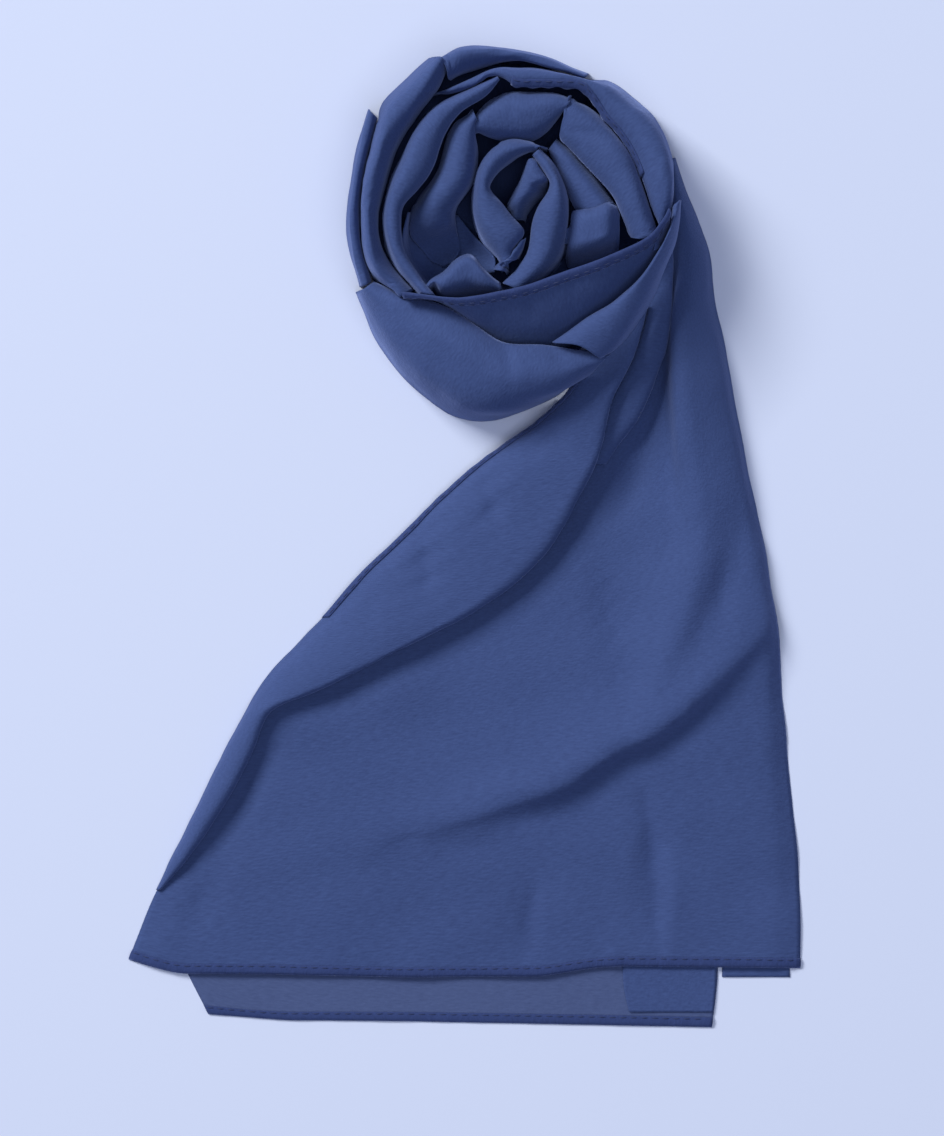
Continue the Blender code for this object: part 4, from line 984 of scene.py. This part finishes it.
def add_node(tree: bpy.types.NodeTree, kind: str, settings: Optional[dict] = None,
             links: Optional[dict] = None) -> bpy.types.Node:
    """Add a node, set its values and link its inputs.

    Args:
        tree: The node tree.
        kind: The node's type name.
        settings: Attribute or input values by name, or by place for inputs that share a name.
        links: Output sockets by input name or place.

    Returns:
        The new node.
    """
    node = tree.nodes.new(kind)
    for name, value in (settings or {}).items():
        if isinstance(name, int) or name in node.inputs:
            node.inputs[name].default_value = value
        else:
            setattr(node, name, value)
    for name, socket in (links or {}).items():
        tree.links.new(socket, node.inputs[name])
    return node


def blend_colours(tree: bpy.types.NodeTree, factor: bpy.types.NodeSocket, low: tuple | bpy.types.NodeSocket,
                  high: tuple) -> bpy.types.NodeSocket:
    """Mix two colours by a factor.

    Args:
        tree: The node tree.
        factor: The socket that gives the factor.
        low: The colour at 0, or the socket that gives it.
        high: The colour at 1.

    Returns:
        The mixed colour's socket.
    """
    mix = add_node(tree, "ShaderNodeMix", {"data_type": "RGBA"}, {"Factor": factor})
    if isinstance(low, tuple):
        mix.inputs[MIX_LOW].default_value = low
    else:
        tree.links.new(low, mix.inputs[MIX_LOW])
    mix.inputs[MIX_HIGH].default_value = high
    return mix.outputs[MIX_RESULT]


def new_material(name: str) -> bpy.types.Material:
    """Return an empty material with its nodes on."""
    material = bpy.data.materials.new(name)
    material.use_nodes = True
    return material


@dataclass(frozen=True)
class GeorgetteFinish:
    """Polyester crepe georgette: high-twist yarn that gives a matt, pebbled, slightly sheer cloth."""

    name: str
    thread: str = "#415588"
    # The colour of the grain's hollows: painted shade
    hollow: str = "#2C3A66"
    tint: str = "#485C92"
    pebble_mm: float = 1.35
    rib_mm: float = 1.1
    bunching: float = 0.42
    bump_mm: float = 0.24
    roughness: float = 0.82
    sheen: float = 0.5
    sheen_tint: str = "#8FA2DC"
    sheen_roughness: float = 0.5
    gloss: float = 0.15
    alpha: float = 1.0

    def material(self) -> bpy.types.Material:
        """Return the finish as a node material.

        Returns:
            The material, made once and then shared.
        """
        known = bpy.data.materials.get(self.name)
        if known is not None:
            return known
        material = new_material(self.name)
        tree = material.node_tree
        shader = tree.nodes["Principled BSDF"]
        place = add_node(tree, "ShaderNodeUVMap", {"uv_map": "cloth_mm"})
        # Crepe yarns bunch into short grains along the weft, so the grain is stretched across the cloth
        scale = (1.0 / self.rib_mm, self.bunching / self.pebble_mm, 1.0)
        stretch = add_node(tree, "ShaderNodeMapping", {"Scale": scale}, {"Vector": place.outputs["UV"]})
        grain = add_node(tree, "ShaderNodeTexNoise", {"Scale": 1.0, "Detail": 2.0, "Roughness": 0.55},
                         {"Vector": stretch.outputs["Vector"]})
        dots = add_node(tree, "ShaderNodeTexVoronoi", {"Scale": 1.0 / self.pebble_mm},
                        {"Vector": place.outputs["UV"]})
        both = add_node(tree, "ShaderNodeMath", {"operation": "SUBTRACT"},
                        {0: grain.outputs["Fac"], 1: dots.outputs["Distance"]})
        relief = add_node(tree, "ShaderNodeBump", {"Strength": 0.55, "Distance": self.bump_mm * MM},
                          {"Height": both.outputs["Value"]})
        # Dye takes a little unevenly over a hand's breadth
        where = add_node(tree, "ShaderNodeNewGeometry")
        cloud = add_node(tree, "ShaderNodeTexNoise", {"Scale": 14.0, "Detail": 2.0},
                         {"Vector": where.outputs["Position"]})
        soft = add_node(tree, "ShaderNodeMath", {"operation": "MULTIPLY", 1: 0.30}, {0: cloud.outputs["Fac"]})
        # Painted shade: where the grain is low and the bump makes hollows, the colour goes to the darker
        # hollow colour
        grain_painted_shade = blend_colours(tree, grain.outputs["Fac"], srgb(self.hollow), srgb(self.thread))
        dyed = blend_colours(tree, soft.outputs["Value"], grain_painted_shade, srgb(self.tint))
        tree.links.new(dyed, shader.inputs["Base Color"])
        tree.links.new(relief.outputs["Normal"], shader.inputs["Normal"])
        shader.inputs["Roughness"].default_value = self.roughness
        shader.inputs["Sheen Weight"].default_value = self.sheen
        shader.inputs["Sheen Roughness"].default_value = self.sheen_roughness
        shader.inputs["Sheen Tint"].default_value = srgb(self.sheen_tint)
        shader.inputs["Specular IOR Level"].default_value = self.gloss
        shader.inputs["Alpha"].default_value = self.alpha
        return material


@dataclass(frozen=True)
class ThreadFinish:
    """Spun polyester sewing thread: dark, matt, with a fine twist."""

    name: str = "polyester_thread_navy"
    colour: str = "#1D2A52"
    light: str = "#2A3A68"

    def material(self) -> bpy.types.Material:
        """Return the thread as a node material."""
        known = bpy.data.materials.get(self.name)
        if known is not None:
            return known
        material = new_material(self.name)
        tree = material.node_tree
        shader = tree.nodes["Principled BSDF"]
        where = add_node(tree, "ShaderNodeNewGeometry")
        # The two plies turn about every 0.6 mm
        twist = add_node(tree, "ShaderNodeTexWave", {"Scale": 1650.0, "Distortion": 1.0},
                         {"Vector": where.outputs["Position"]})
        shade = blend_colours(tree, twist.outputs["Fac"], srgb(self.colour), srgb(self.light))
        tree.links.new(shade, shader.inputs["Base Color"])
        shader.inputs["Roughness"].default_value = 0.7
        return material


@dataclass(frozen=True)
class TableFinish:
    """Smooth matt paper backdrop in pale periwinkle."""

    name: str = "backdrop_paper"
    colour: str = "#D0DAF4"

    def material(self) -> bpy.types.Material:
        """Return the backdrop as a node material."""
        material = new_material(self.name)
        tree = material.node_tree
        shader = tree.nodes["Principled BSDF"]
        fibre = add_node(tree, "ShaderNodeTexNoise", {"Scale": 900.0, "Detail": 1.0})
        relief = add_node(tree, "ShaderNodeBump", {"Strength": 0.04, "Distance": 0.0002},
                          {"Height": fibre.outputs["Fac"]})
        tree.links.new(relief.outputs["Normal"], shader.inputs["Normal"])
        shader.inputs["Base Color"].default_value = srgb(self.colour)
        shader.inputs["Roughness"].default_value = 0.9
        shader.inputs["Specular IOR Level"].default_value = 0.1
        return material


GEORGETTE = GeorgetteFinish("crepe_georgette_dusk_blue")
# Painted light: a lighter copy of the georgette for the single under layer. Its lighter colour stands in for
# the pale backdrop shining through; its part transparency is real
GEORGETTE_SINGLE_PAINTED_LIGHT = GeorgetteFinish("crepe_georgette_single_layer_painted_light", thread="#566798", hollow="#3F4E7C",
                                   tint="#5D6E9E", alpha=0.72)
# Painted shade: a darker copy of the georgette, with less sheen, for the hidden layers that show only deep in
# the rose's gaps
GEORGETTE_PAINTED_SHADE = GeorgetteFinish("crepe_georgette_painted_shade", thread="#26345C", hollow="#1B2748",
                                 tint="#2B3A66", sheen=0.15)
HEM_CLOTH = GeorgetteFinish("crepe_georgette_rolled_hem", thread="#35457A", hollow="#26335C", tint="#3B4C80",
                            rib_mm=0.9)
THREAD = ThreadFinish()


def ring_faces(rings: int, sides: int, base: int = 0) -> list[tuple]:
    """Return the quads between rings of points that follow each other from a first point on."""
    faces = []
    for ring in range(rings - 1):
        for k in range(sides):
            a, b = base + ring * sides + k, base + ring * sides + (k + 1) % sides
            faces.append((a, b, b + sides, a + sides))
    return faces


def new_object(name: str, points: np.ndarray, faces: Sequence, place: Optional[np.ndarray],
               material: bpy.types.Material) -> bpy.types.Object:
    """Make a smooth shaded object from points in millimetres.

    Args:
        name: The object's name.
        points: Its points, mm.
        faces: Its faces, as an array of quads or a list.
        place: Each point's place on the cloth, mm, or None.
        material: Its material.

    Returns:
        The object, riding on the scarf's one body.
    """
    mesh = bpy.data.meshes.new(name)
    mesh.from_pydata((points * MM).tolist(), [], faces.tolist() if isinstance(faces, np.ndarray) else faces)
    mesh.validate()
    mesh.shade_smooth()
    if place is not None:
        layer = mesh.uv_layers.new(name="cloth_mm")
        corner = np.empty(len(mesh.loops), dtype=np.int32)
        mesh.loops.foreach_get("vertex_index", corner)
        layer.data.foreach_set("uv", place[corner].astype(np.float32).ravel())
    mesh.materials.append(material)
    item = bpy.data.objects.new(name, mesh)
    bpy.context.collection.objects.link(item)
    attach(item, "root")
    return item


@dataclass
class Stretch:
    """One stretch of the scarf: a shell on its solid's form, with finer creases."""

    node: str
    rests_on: tuple
    held: Held = Held.FOLDED
    finish: GeorgetteFinish = GEORGETTE
    step_mm: float = 1.5
    unevenness: float = 0.35
    creases: tuple = ()
    grid: Optional[np.ndarray] = field(default=None, repr=False)
    fine: Optional[np.ndarray] = field(default=None, repr=False)

    @property
    def seed(self) -> int:
        """Fix the draw of this stretch's unevenness."""
        return SEED + sum(ord(letter) for letter in self.node)

    def settle(self, grid: np.ndarray, laid: Obstacles, apart: bool = True, trimmed: bool = False,
               seated: bool = False) -> None:
        """Ease the coarse form off what is laid already and remember its wall.

        Args:
            grid: The form as its table gives it.
            laid: The walls laid so far.
            apart: Whether it is eased off them.
            trimmed: Whether its legs end where they would enter them.
            seated: Whether its foot is lowered onto what lies under it.
        """
        grid = true_place(grid)
        grid = resample(resample(grid, 2 * grid.shape[0] - 1, 0), 2 * grid.shape[1] - 1, 1)
        wander = undulation(grid, WAVES, LAID_WAVE, self.unevenness, self.seed)
        grid = grid + grid_normals(grid) * wander[..., None]
        grid[..., 2] = np.maximum(grid[..., 2], SHELL_PLY * 0.5)
        if apart:
            grid = laid.keep_apart(grid, EASED_CLEARANCE)
        if trimmed:
            grid = laid.trim_legs(grid, CLEARANCE)
            grid = np.swapaxes(laid.trim_legs(np.swapaxes(grid, 0, 1), CLEARANCE, least=0.5), 0, 1)
        if seated:
            grid = laid.seat_foot(grid)
        self.grid = grid
        points, quads, _ = wall_mesh(grid, SHELL_PLY)
        laid.add_wall(points, outward(points, quads).tolist())

    def build(self) -> bpy.types.Object:
        """Make the fine shell.

        Returns:
            The shell, standing for its node.
        """
        across, along, _ = arc_sizes(self.grid)
        rows = max(int(along / MM / self.step_mm), 8)
        columns = max(int(across / MM / self.step_mm), 8)
        fine = resample(resample(self.grid, rows, 0), columns, 1)
        fine = add_folds(fine, self.creases)
        wander = undulation(fine, WAVES, FINE_WAVE, FINE_UNEVENNESS, self.seed + 1)
        fine = fine + grid_normals(fine) * wander[..., None]
        fine[..., 2] = np.maximum(fine[..., 2], SHELL_PLY * 0.5)
        self.fine = fine
        points, quads, place = wall_mesh(fine, SHELL_PLY)
        item = new_object("cloth_" + self.node, points, outward(points, quads), place, self.finish.material())
        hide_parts(self.node)
        return item

    def build_hem(self) -> list[bpy.types.Object]:
        """Return the pieces of this stretch's hem, none where it has no hem."""
        hem = HEMS.get(self.node)
        return hem.build(self.fine) if hem else []

    def declare(self, item: bpy.types.Object, with_pieces: Sequence[bpy.types.Object] = ()) -> None:
        """Do nothing; the cut of the cloth that this stretch shows is not stated here."""


@dataclass
class StitchRow:
    """A row of machine stitches on a strip of cloth, each a short thread sunk at both ends."""

    pitch_mm: float = 5.3
    length_mm: float = 3.9
    width_mm: float = 0.55
    height_mm: float = 0.32
    lead: float = 0.15  # bare share of the pitch before each stitch
    sunk_mm: float = 0.2
    sides: int = 6
    swells: tuple = (0.25, 1.0, 1.0, 0.25)  # share of the full thread at each ring

    def mesh(self, path: np.ndarray, normals: np.ndarray) -> tuple:
        """Return the points and faces of the stitches along a path.

        Args:
            path: Points of the seam line, mm.
            normals: The cloth's normals there.

        Returns:
            Points and faces.
        """
        run = np.pad(np.linalg.norm(np.diff(path, axis=0), axis=1).cumsum(), (1, 0))
        turns = np.linspace(0, 2 * math.pi, self.sides, endpoint=False)
        points, faces = [], []
        for number in range(int(run[-1] / self.pitch_mm)):
            start = (number + self.lead) * self.pitch_mm
            ends = np.linspace(start, start + self.length_mm, len(self.swells))
            spots = np.stack([np.interp(ends, run, path[:, k]) for k in range(3)], axis=1)
            up = np.stack([np.interp(ends, run, normals[:, k]) for k in range(3)], axis=1)
            up /= np.linalg.norm(up, axis=1)[:, None]
            heading = np.gradient(spots, axis=0)
            side = np.cross(heading, up)
            side /= np.maximum(np.linalg.norm(side, axis=1), 1e-9)[:, None]
            base = len(points)
            for spot, out, beside, swell in zip(spots, up, side, self.swells):
                for angle in turns:
                    rise = math.sin(angle) * self.height_mm * swell + (swell - 1.0) * self.sunk_mm
                    points.append(spot + beside * math.cos(angle) * self.width_mm * 0.5 * swell + out * rise)
            faces += ring_faces(len(self.swells), self.sides, base)
            last = base + (len(self.swells) - 1) * self.sides
            faces += [(base, base + 3, base + 2, base + 1), (base, base + 5, base + 4, base + 3)]
            faces += [(last, last + 1, last + 2, last + 3), (last, last + 3, last + 4, last + 5)]
        return np.array(points), faces


@dataclass
class Hem:
    """A narrow rolled hem on one edge of a stretch, with its rows of stitches."""

    node: str
    edge: Edge
    width_mm: float = 4.5
    rows: tuple = (0.0, 1.0)  # the share of the edge that it takes
    seams_mm: tuple = (3.5,)  # in from the edge
    roll_mm: float = 0.5
    lift_mm: float = SHELL_PLY + 0.15
    overhang_mm: float = 0.5
    pucker_mm: float = 0.12
    pucker_pitch_mm: float = 10.6
    scallop_mm: float = 0.0
    scallop_pitches_mm: tuple = (8.5, 13.0)
    thread_rise_mm: float = 0.28
    columns: int = 8

    def strip(self, grid: np.ndarray) -> tuple:
        """Return the hem's fine middle surface and its outer normals.

        Args:
            grid: The fine middle surface of the stretch that it edges.

        Returns:
            The strip's points and normals, from the cloth's edge inwards.
        """
        if self.edge is Edge.RIGHT:
            grid = grid[:, ::-1]
        elif self.edge is Edge.END:
            grid = np.swapaxes(grid, 0, 1)[:, ::-1]
        first, last = (int(share * (len(grid) - 1)) for share in self.rows)
        grid = grid[first:last + 1]
        normals = grid_normals(grid)
        flip = np.where(normals[:, :1, 2:3].mean() < 0, -1.0, 1.0)
        normals = normals * flip
        run = np.concatenate([np.zeros((len(grid), 1)),
                              np.linalg.norm(np.diff(grid, axis=1), axis=2).cumsum(axis=1)], axis=1)
        shares = np.linspace(0.0, 1.0, self.columns)
        points = np.empty((len(grid), len(shares), 3))
        upward = np.empty_like(points)
        for i in range(len(grid)):
            for k in range(3):
                points[i, :, k] = np.interp(shares * self.width_mm, run[i], grid[i, :, k])
                upward[i, :, k] = np.interp(shares * self.width_mm, run[i], normals[i, :, k])
        out = points[:, 0] - points[:, 1]
        out /= np.maximum(np.linalg.norm(out, axis=1), 1e-9)[:, None]
        ridge = np.sin(np.pi * np.clip(shares * 1.02, 0, 1)) ** 0.5
        down = np.pad(np.linalg.norm(np.diff(points[:, 0], axis=0), axis=1).cumsum(), (1, 0))
        pucker = np.sin(down * 2 * math.pi / self.pucker_pitch_mm) * self.pucker_mm
        pucker = pucker + undulation(points[:, 0], 7, 12.0, 0.12, 5)
        lift = self.lift_mm + ridge[None, :] * self.roll_mm + pucker[:, None] * ridge[None, :]
        points = points + upward * lift[..., None]
        short, long = self.scallop_pitches_mm
        wave = np.sin(down * 2 * math.pi / short) + 0.6 * np.sin(down * 2 * math.pi / long + 1.0)
        reach = self.overhang_mm + self.scallop_mm * wave
        points[:, 0] += out * reach[:, None] - upward[:, 0] * self.overhang_mm
        return points, upward

    def build(self, grid: np.ndarray) -> list[bpy.types.Object]:
        """Make the hem and its stitches.

        Args:
            grid: The fine middle surface of the stretch that it edges.

        Returns:
            The hem's pieces.
        """
        middle, upward = self.strip(grid)
        points, quads, place = wall_mesh(middle, HEM_PLY)
        hem = new_object("rolled_" + self.node, points, outward(points, quads), place, HEM_CLOTH.material())
        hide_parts(self.node)
        pieces = [hem]
        steps = middle.shape[1] - 1
        for number, inset in enumerate(self.seams_mm):
            at = inset / self.width_mm * steps
            column = min(int(at), steps - 1)
            share = at - column
            path = middle[:, column] * (1 - share) + middle[:, column + 1] * share
            spots, faces = StitchRow().mesh(path + upward[:, column] * self.thread_rise_mm, upward[:, column])
            row = new_object(f"stitches_{self.node}_{number + 1}", spots, faces, None, THREAD.material())
            pieces.append(row)
        return pieces


# The hem on each stretch that has one
HEMS = {
    "under_panel": Hem("under_hem", Edge.END),
    "tail_panel": Hem("end_hem", Edge.END),
    "tail_band": Hem("side_hem", Edge.LEFT, rows=(0.04, 0.52)),
    "front_wrap": Hem("front_hem", Edge.RIGHT, width_mm=5.5, seams_mm=(3.2, 4.9)),
    "crown_wrap": Hem("crown_hem", Edge.RIGHT, rows=(0.30, 0.80), scallop_mm=0.55),
}


@dataclass
class Rose:
    """The wound end: each wrap and petal that shows, from the outside in."""

    laid: Obstacles
    core_centre: tuple = (23.0, 156.0)
    outline: tuple = (
        (98.0, 156.0), (101.0, 172.0), (98.0, 190.0), (89.0, 204.0), (78.0, 214.0), (64.0, 224.0),
        (45.0, 233.0), (25.0, 239.0), (5.0, 240.0), (-14.0, 234.0), (-32.0, 220.0), (-44.0, 205.0),
        (-49.0, 188.0), (-53.0, 165.0), (-52.0, 146.0), (-46.0, 132.0), (-38.0, 118.0), (-26.0, 104.0),
        (-10.0, 93.0), (10.0, 86.0), (30.0, 86.0), (52.0, 92.0), (72.0, 104.0), (86.0, 120.0), (93.0, 138.0),
    )
    ledges: tuple = (
        (0.955, 0.0), (1.0, 1.4), (1.0, 3.6), (0.965, 4.6), (0.985, 6.0), (0.985, 8.2),
        (0.945, 9.2), (0.96, 10.6), (0.95, 12.6), (0.89, 14.4), (0.70, 15.7), (0.35, 16.0),
    )
    core_sides: int = 180
    core_rings: int = 60
    stretches: list[Stretch] = field(default_factory=list, repr=False)

    def build_core(self) -> None:
        """Make the stack of hidden layers, its outline a little inside the wraps'."""
        sides = self.core_sides
        rim = np.array(self.outline + self.outline[:1], dtype=float)
        rim = smooth_rows(rim, sides + 1)[:-1] - self.core_centre
        profile = resample(np.array(self.ledges)[:, None, :], self.core_rings, 0)[:, 0]
        angles = np.linspace(0, 2 * math.pi, sides, endpoint=False)
        rings = []
        for share, height in profile:
            sway = 1.0 + 0.006 * np.sin(angles * 5 + height * 0.7) + 0.004 * np.sin(angles * 11 + height)
            plan = self.core_centre + rim * (share * np.where(share > 0.9, sway, 1.0))[:, None]
            rings.append(np.column_stack([plan, np.full(sides, max(height, 0.0))]))
        points = np.concatenate(rings)
        faces = ring_faces(len(rings), sides)
        faces.append(tuple(range(sides))[::-1])
        faces.append(tuple(range((len(rings) - 1) * sides, len(rings) * sides)))
        turns = np.arctan2(points[:, 1] - self.core_centre[1], points[:, 0] - self.core_centre[0])
        place = np.column_stack([turns * CORE_RADIUS, points[:, 2]])
        # The darker copy of the georgette is painted shade on the hidden layers, which show only at the
        # bottom of the gaps
        item = new_object("hidden_layers", points, faces, place, GEORGETTE_PAINTED_SHADE.material())
        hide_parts("rose_core")
        self.laid.add_wall(points, faces)
        log.info("hidden layers built")

    def settle(self) -> None:
        """Lay every wrap, from the outside in."""
        for plan in WRAP_PLANS:
            stretch = Stretch(plan.node, ("hidden_layers",), Held.FOLDED, plan.finish, creases=plan.creases)
            grid = extend_ends(wrap_grid(plan.cuts, plan.along, plan.across, plan.soft), plan.reach)
            stretch.settle(grid, self.laid, trimmed=True, seated=plan.seated)
            self.stretches.append(stretch)
        log.info("%d wraps settled", len(self.stretches))

    def build(self) -> None:
        """Make the wraps' shells and hems."""
        for stretch in self.stretches:
            item = stretch.build()
            stretch.declare(item, stretch.build_hem())
        log.info("rose built")


@dataclass
class Tail:
    """The fanned end: the under layer, the turned edge, the wide panel and the two folds, with their hems."""

    laid: Obstacles
    stretches: list[Stretch] = field(default_factory=list, repr=False)

    def lay(self, stretch: Stretch, grid: np.ndarray, apart: bool = True) -> None:
        """Settle one stretch on the ones below it."""
        stretch.settle(grid, self.laid, apart=apart)
        self.stretches.append(stretch)

    def settle(self) -> None:
        """Lay the five stretches from the table upwards."""
        floor = FRAME_PLY * 0.5
        under = dip_end(flat_grid(UNDER_PANEL_SIDES, 12, 14, floor), UNDER_HEM_DIP, 4)
        # The under layer's lighter colour is painted light of the backdrop showing through it
        self.lay(Stretch("under_panel", ("table",), Held.LAID, GEORGETTE_SINGLE_PAINTED_LIGHT, unevenness=0.12), under,
                 apart=False)
        turned = flat_grid(TURNED_EDGE_SIDES, 8, 3, floor)
        self.lay(Stretch("turned_edge", ("table",), Held.LAID, unevenness=0.10), turned, apart=False)
        panel = dip_end(add_folds(panel_grid(TAIL_PANEL, 34, 27), TAIL_FOLDS), END_HEM_DIP, 3)
        rests_on = ("table", "cloth_under_panel")
        self.lay(Stretch("tail_panel", rests_on, Held.LAID, creases=PANEL_CREASES), panel)
        self.lay(Stretch("narrow_fold", ("cloth_tail_panel",)), band_grid(NARROW_FOLD, 10, 12))
        band = add_folds(band_grid(TAIL_BAND, 26, 15), BAND_FOLDS)
        self.lay(Stretch("tail_band", ("cloth_tail_panel", "cloth_narrow_fold"), creases=BAND_CREASES), band)

    def build(self) -> None:
        """Make the shells and hems."""
        for stretch in self.stretches:
            item = stretch.build()
            pieces = stretch.build_hem()
            if stretch.node == "under_panel":
                pieces.append(self.build_doubling())
            stretch.declare(item, pieces)
        log.info("tail built")

    def build_doubling(self) -> bpy.types.Object:
        """Lay the corner that is folded over once more on the under layer."""
        name = "right_doubling"
        grid = true_place(flat_grid(RIGHT_DOUBLING_SIDES, 24, 40, DOUBLING_HEIGHT))
        grid[..., 2] += undulation(grid, 7, 22.0, 0.10, SEED + len(name))
        points, quads, place = wall_mesh(grid, DOUBLING_PLY)
        item = new_object(name, points, outward(points, quads), place, GEORGETTE.material())
        return item


@dataclass(frozen=True)
class WrapPlan:
    """How one wrap of the rose is read from its table."""

    node: str
    cuts: tuple
    along: int
    across: int
    finish: GeorgetteFinish = GEORGETTE
    reach: tuple = (0.0, 0.0)
    creases: tuple = ()
    soft: bool = True
    seated: bool = True


WRAP_PLANS = (
    WrapPlan("front_band", FRONT_BAND, 18, 10, creases=FRONT_BAND_CREASES),
    WrapPlan("front_wrap", FRONT_WRAP, 18, 8, reach=(3.0, 3.0), creases=FRONT_WRAP_CREASES, soft=False,
             seated=False),
    WrapPlan("twist", TWIST, 14, 9, reach=(0.0, 3.0), seated=False),
    WrapPlan("outer_wrap", OUTER_WRAP, 12, 7, reach=(0.0, 8.0)),
    WrapPlan("second_wrap", SECOND_WRAP, 18, 8, reach=(0.0, 10.0)),
    WrapPlan("hemmed_wrap", HEMMED_WRAP, 20, 8, reach=(0.0, 10.0)),
    WrapPlan("back_wrap", BACK_WRAP, 12, 7, reach=(8.0, 9.0)),
    WrapPlan("crown_wrap", CROWN_WRAP, 24, 8, reach=(8.0, 8.0)),
    WrapPlan("basin", BASIN, 9, 9, seated=False),
    WrapPlan("inner_wrap_top", INNER_WRAP_TOP, 12, 9, reach=(4.0, 0.0),
             creases=INNER_WRAP_TOP_CREASES),
    WrapPlan("inner_wrap_left", INNER_WRAP_LEFT, 12, 9, reach=(3.0, 4.0)),
    WrapPlan("right_petal", RIGHT_PETAL, 12, 9, reach=(2.0, 11.0), creases=RIGHT_PETAL_CREASES),
    WrapPlan("inner_petal", INNER_PETAL, 8, 7, reach=(0.0, 5.0)),
    WrapPlan("bud_ring", BUD_RING, 16, 9, reach=(2.0, 5.0)),
    WrapPlan("bud_right", BUD_RIGHT, 10, 9, reach=(2.0, 8.0)),
    WrapPlan("bud_fold", BUD_FOLD, 8, 7, reach=(0.0, 5.0)),
    WrapPlan("bud_lower", BUD_LOWER, 8, 7, reach=(0.0, 1.0)),
    WrapPlan("cheek_petal", CHEEK_PETAL, 9, 9, reach=(5.0, 4.0)),
    WrapPlan("lower_petal", LOWER_PETAL, 11, 9, reach=(1.5, 3.0)),
)


@dataclass(frozen=True)
class LampPlan:
    """One square lamp: where it stands, what it faces, its side in metres, its power and its tone."""

    name: str
    place: tuple
    side: float
    watts: float
    tone: str
    aim: tuple = (0.0, 0.0, 0.0)

    def build(self) -> None:
        """Add the lamp."""
        data = bpy.data.lights.new(self.name, "AREA")
        data.size, data.energy, data.color = self.side, self.watts, srgb(self.tone)[:3]
        lamp = bpy.data.objects.new(self.name, data)
        lamp.location = self.place
        lamp.rotation_euler = (Vector(self.aim) - Vector(self.place)).to_track_quat("-Z", "Y").to_euler()
        bpy.context.collection.objects.link(lamp)


LAMPS = (
    LampPlan("window", (-3.3, 3.1, 3.6), 2.2, 330.0, "#FFFDF8"),
    LampPlan("overhead", (0.5, -0.6, 3.6), 2.4, 44.0, "#EEF2FF"),
)


ROOM_TONE = "#D8E0F6"
ROOM_STRENGTH = 0.21
TABLE_HALF = 3.0  # metres
SENSOR = 36.0  # mm
VIEW_HEIGHT = 0.568  # metres of table that the picture shows from top to bottom


def build_light() -> None:
    """Add the lamps and the pale room round them."""
    for plan in LAMPS:
        plan.build()
    world = bpy.data.worlds.new("pale_room")
    world.use_nodes = True
    shade = world.node_tree.nodes["Background"]
    shade.inputs["Color"].default_value = srgb(ROOM_TONE)
    shade.inputs["Strength"].default_value = ROOM_STRENGTH
    bpy.context.scene.world = world
    bpy.context.scene.view_settings.view_transform = "Standard"


def build_table() -> None:
    """Add the pale backdrop under the scarf."""
    mesh = bpy.data.meshes.new("table")
    half = TABLE_HALF
    corners = [(-half, -half, 0), (half, -half, 0), (half, half, 0), (-half, half, 0)]
    mesh.from_pydata(corners, [], [(0, 1, 2, 3)])
    mesh.materials.append(TableFinish().material())
    table = bpy.data.objects.new("table", mesh)
    bpy.context.collection.objects.link(table)


def build_camera() -> None:
    """Add the camera, straight above and level."""
    data = bpy.data.cameras.new("overhead_camera")
    data.sensor_fit = "VERTICAL"
    data.sensor_height = SENSOR
    data.lens = SENSOR * (LOOK_HEIGHT * MM) / VIEW_HEIGHT
    camera = bpy.data.objects.new("overhead_camera", data)
    camera.location = (LOOK_SPOT[0] * MM, LOOK_SPOT[1] * MM, LOOK_HEIGHT * MM)
    bpy.context.collection.objects.link(camera)
    bpy.context.scene.camera = camera


def main() -> None:
    """Build the scarf's looks in order."""
    logging.basicConfig(level=logging.INFO, format="%(name)s: %(message)s")
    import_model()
    laid = Obstacles()
    rose = Rose(laid)
    rose.build_core()
    tail = Tail(laid)
    tail.settle()
    rose.settle()
    tail.build()
    rose.build()
    build_table()
    build_camera()
    build_light()


if __name__ == "__main__":
    main()
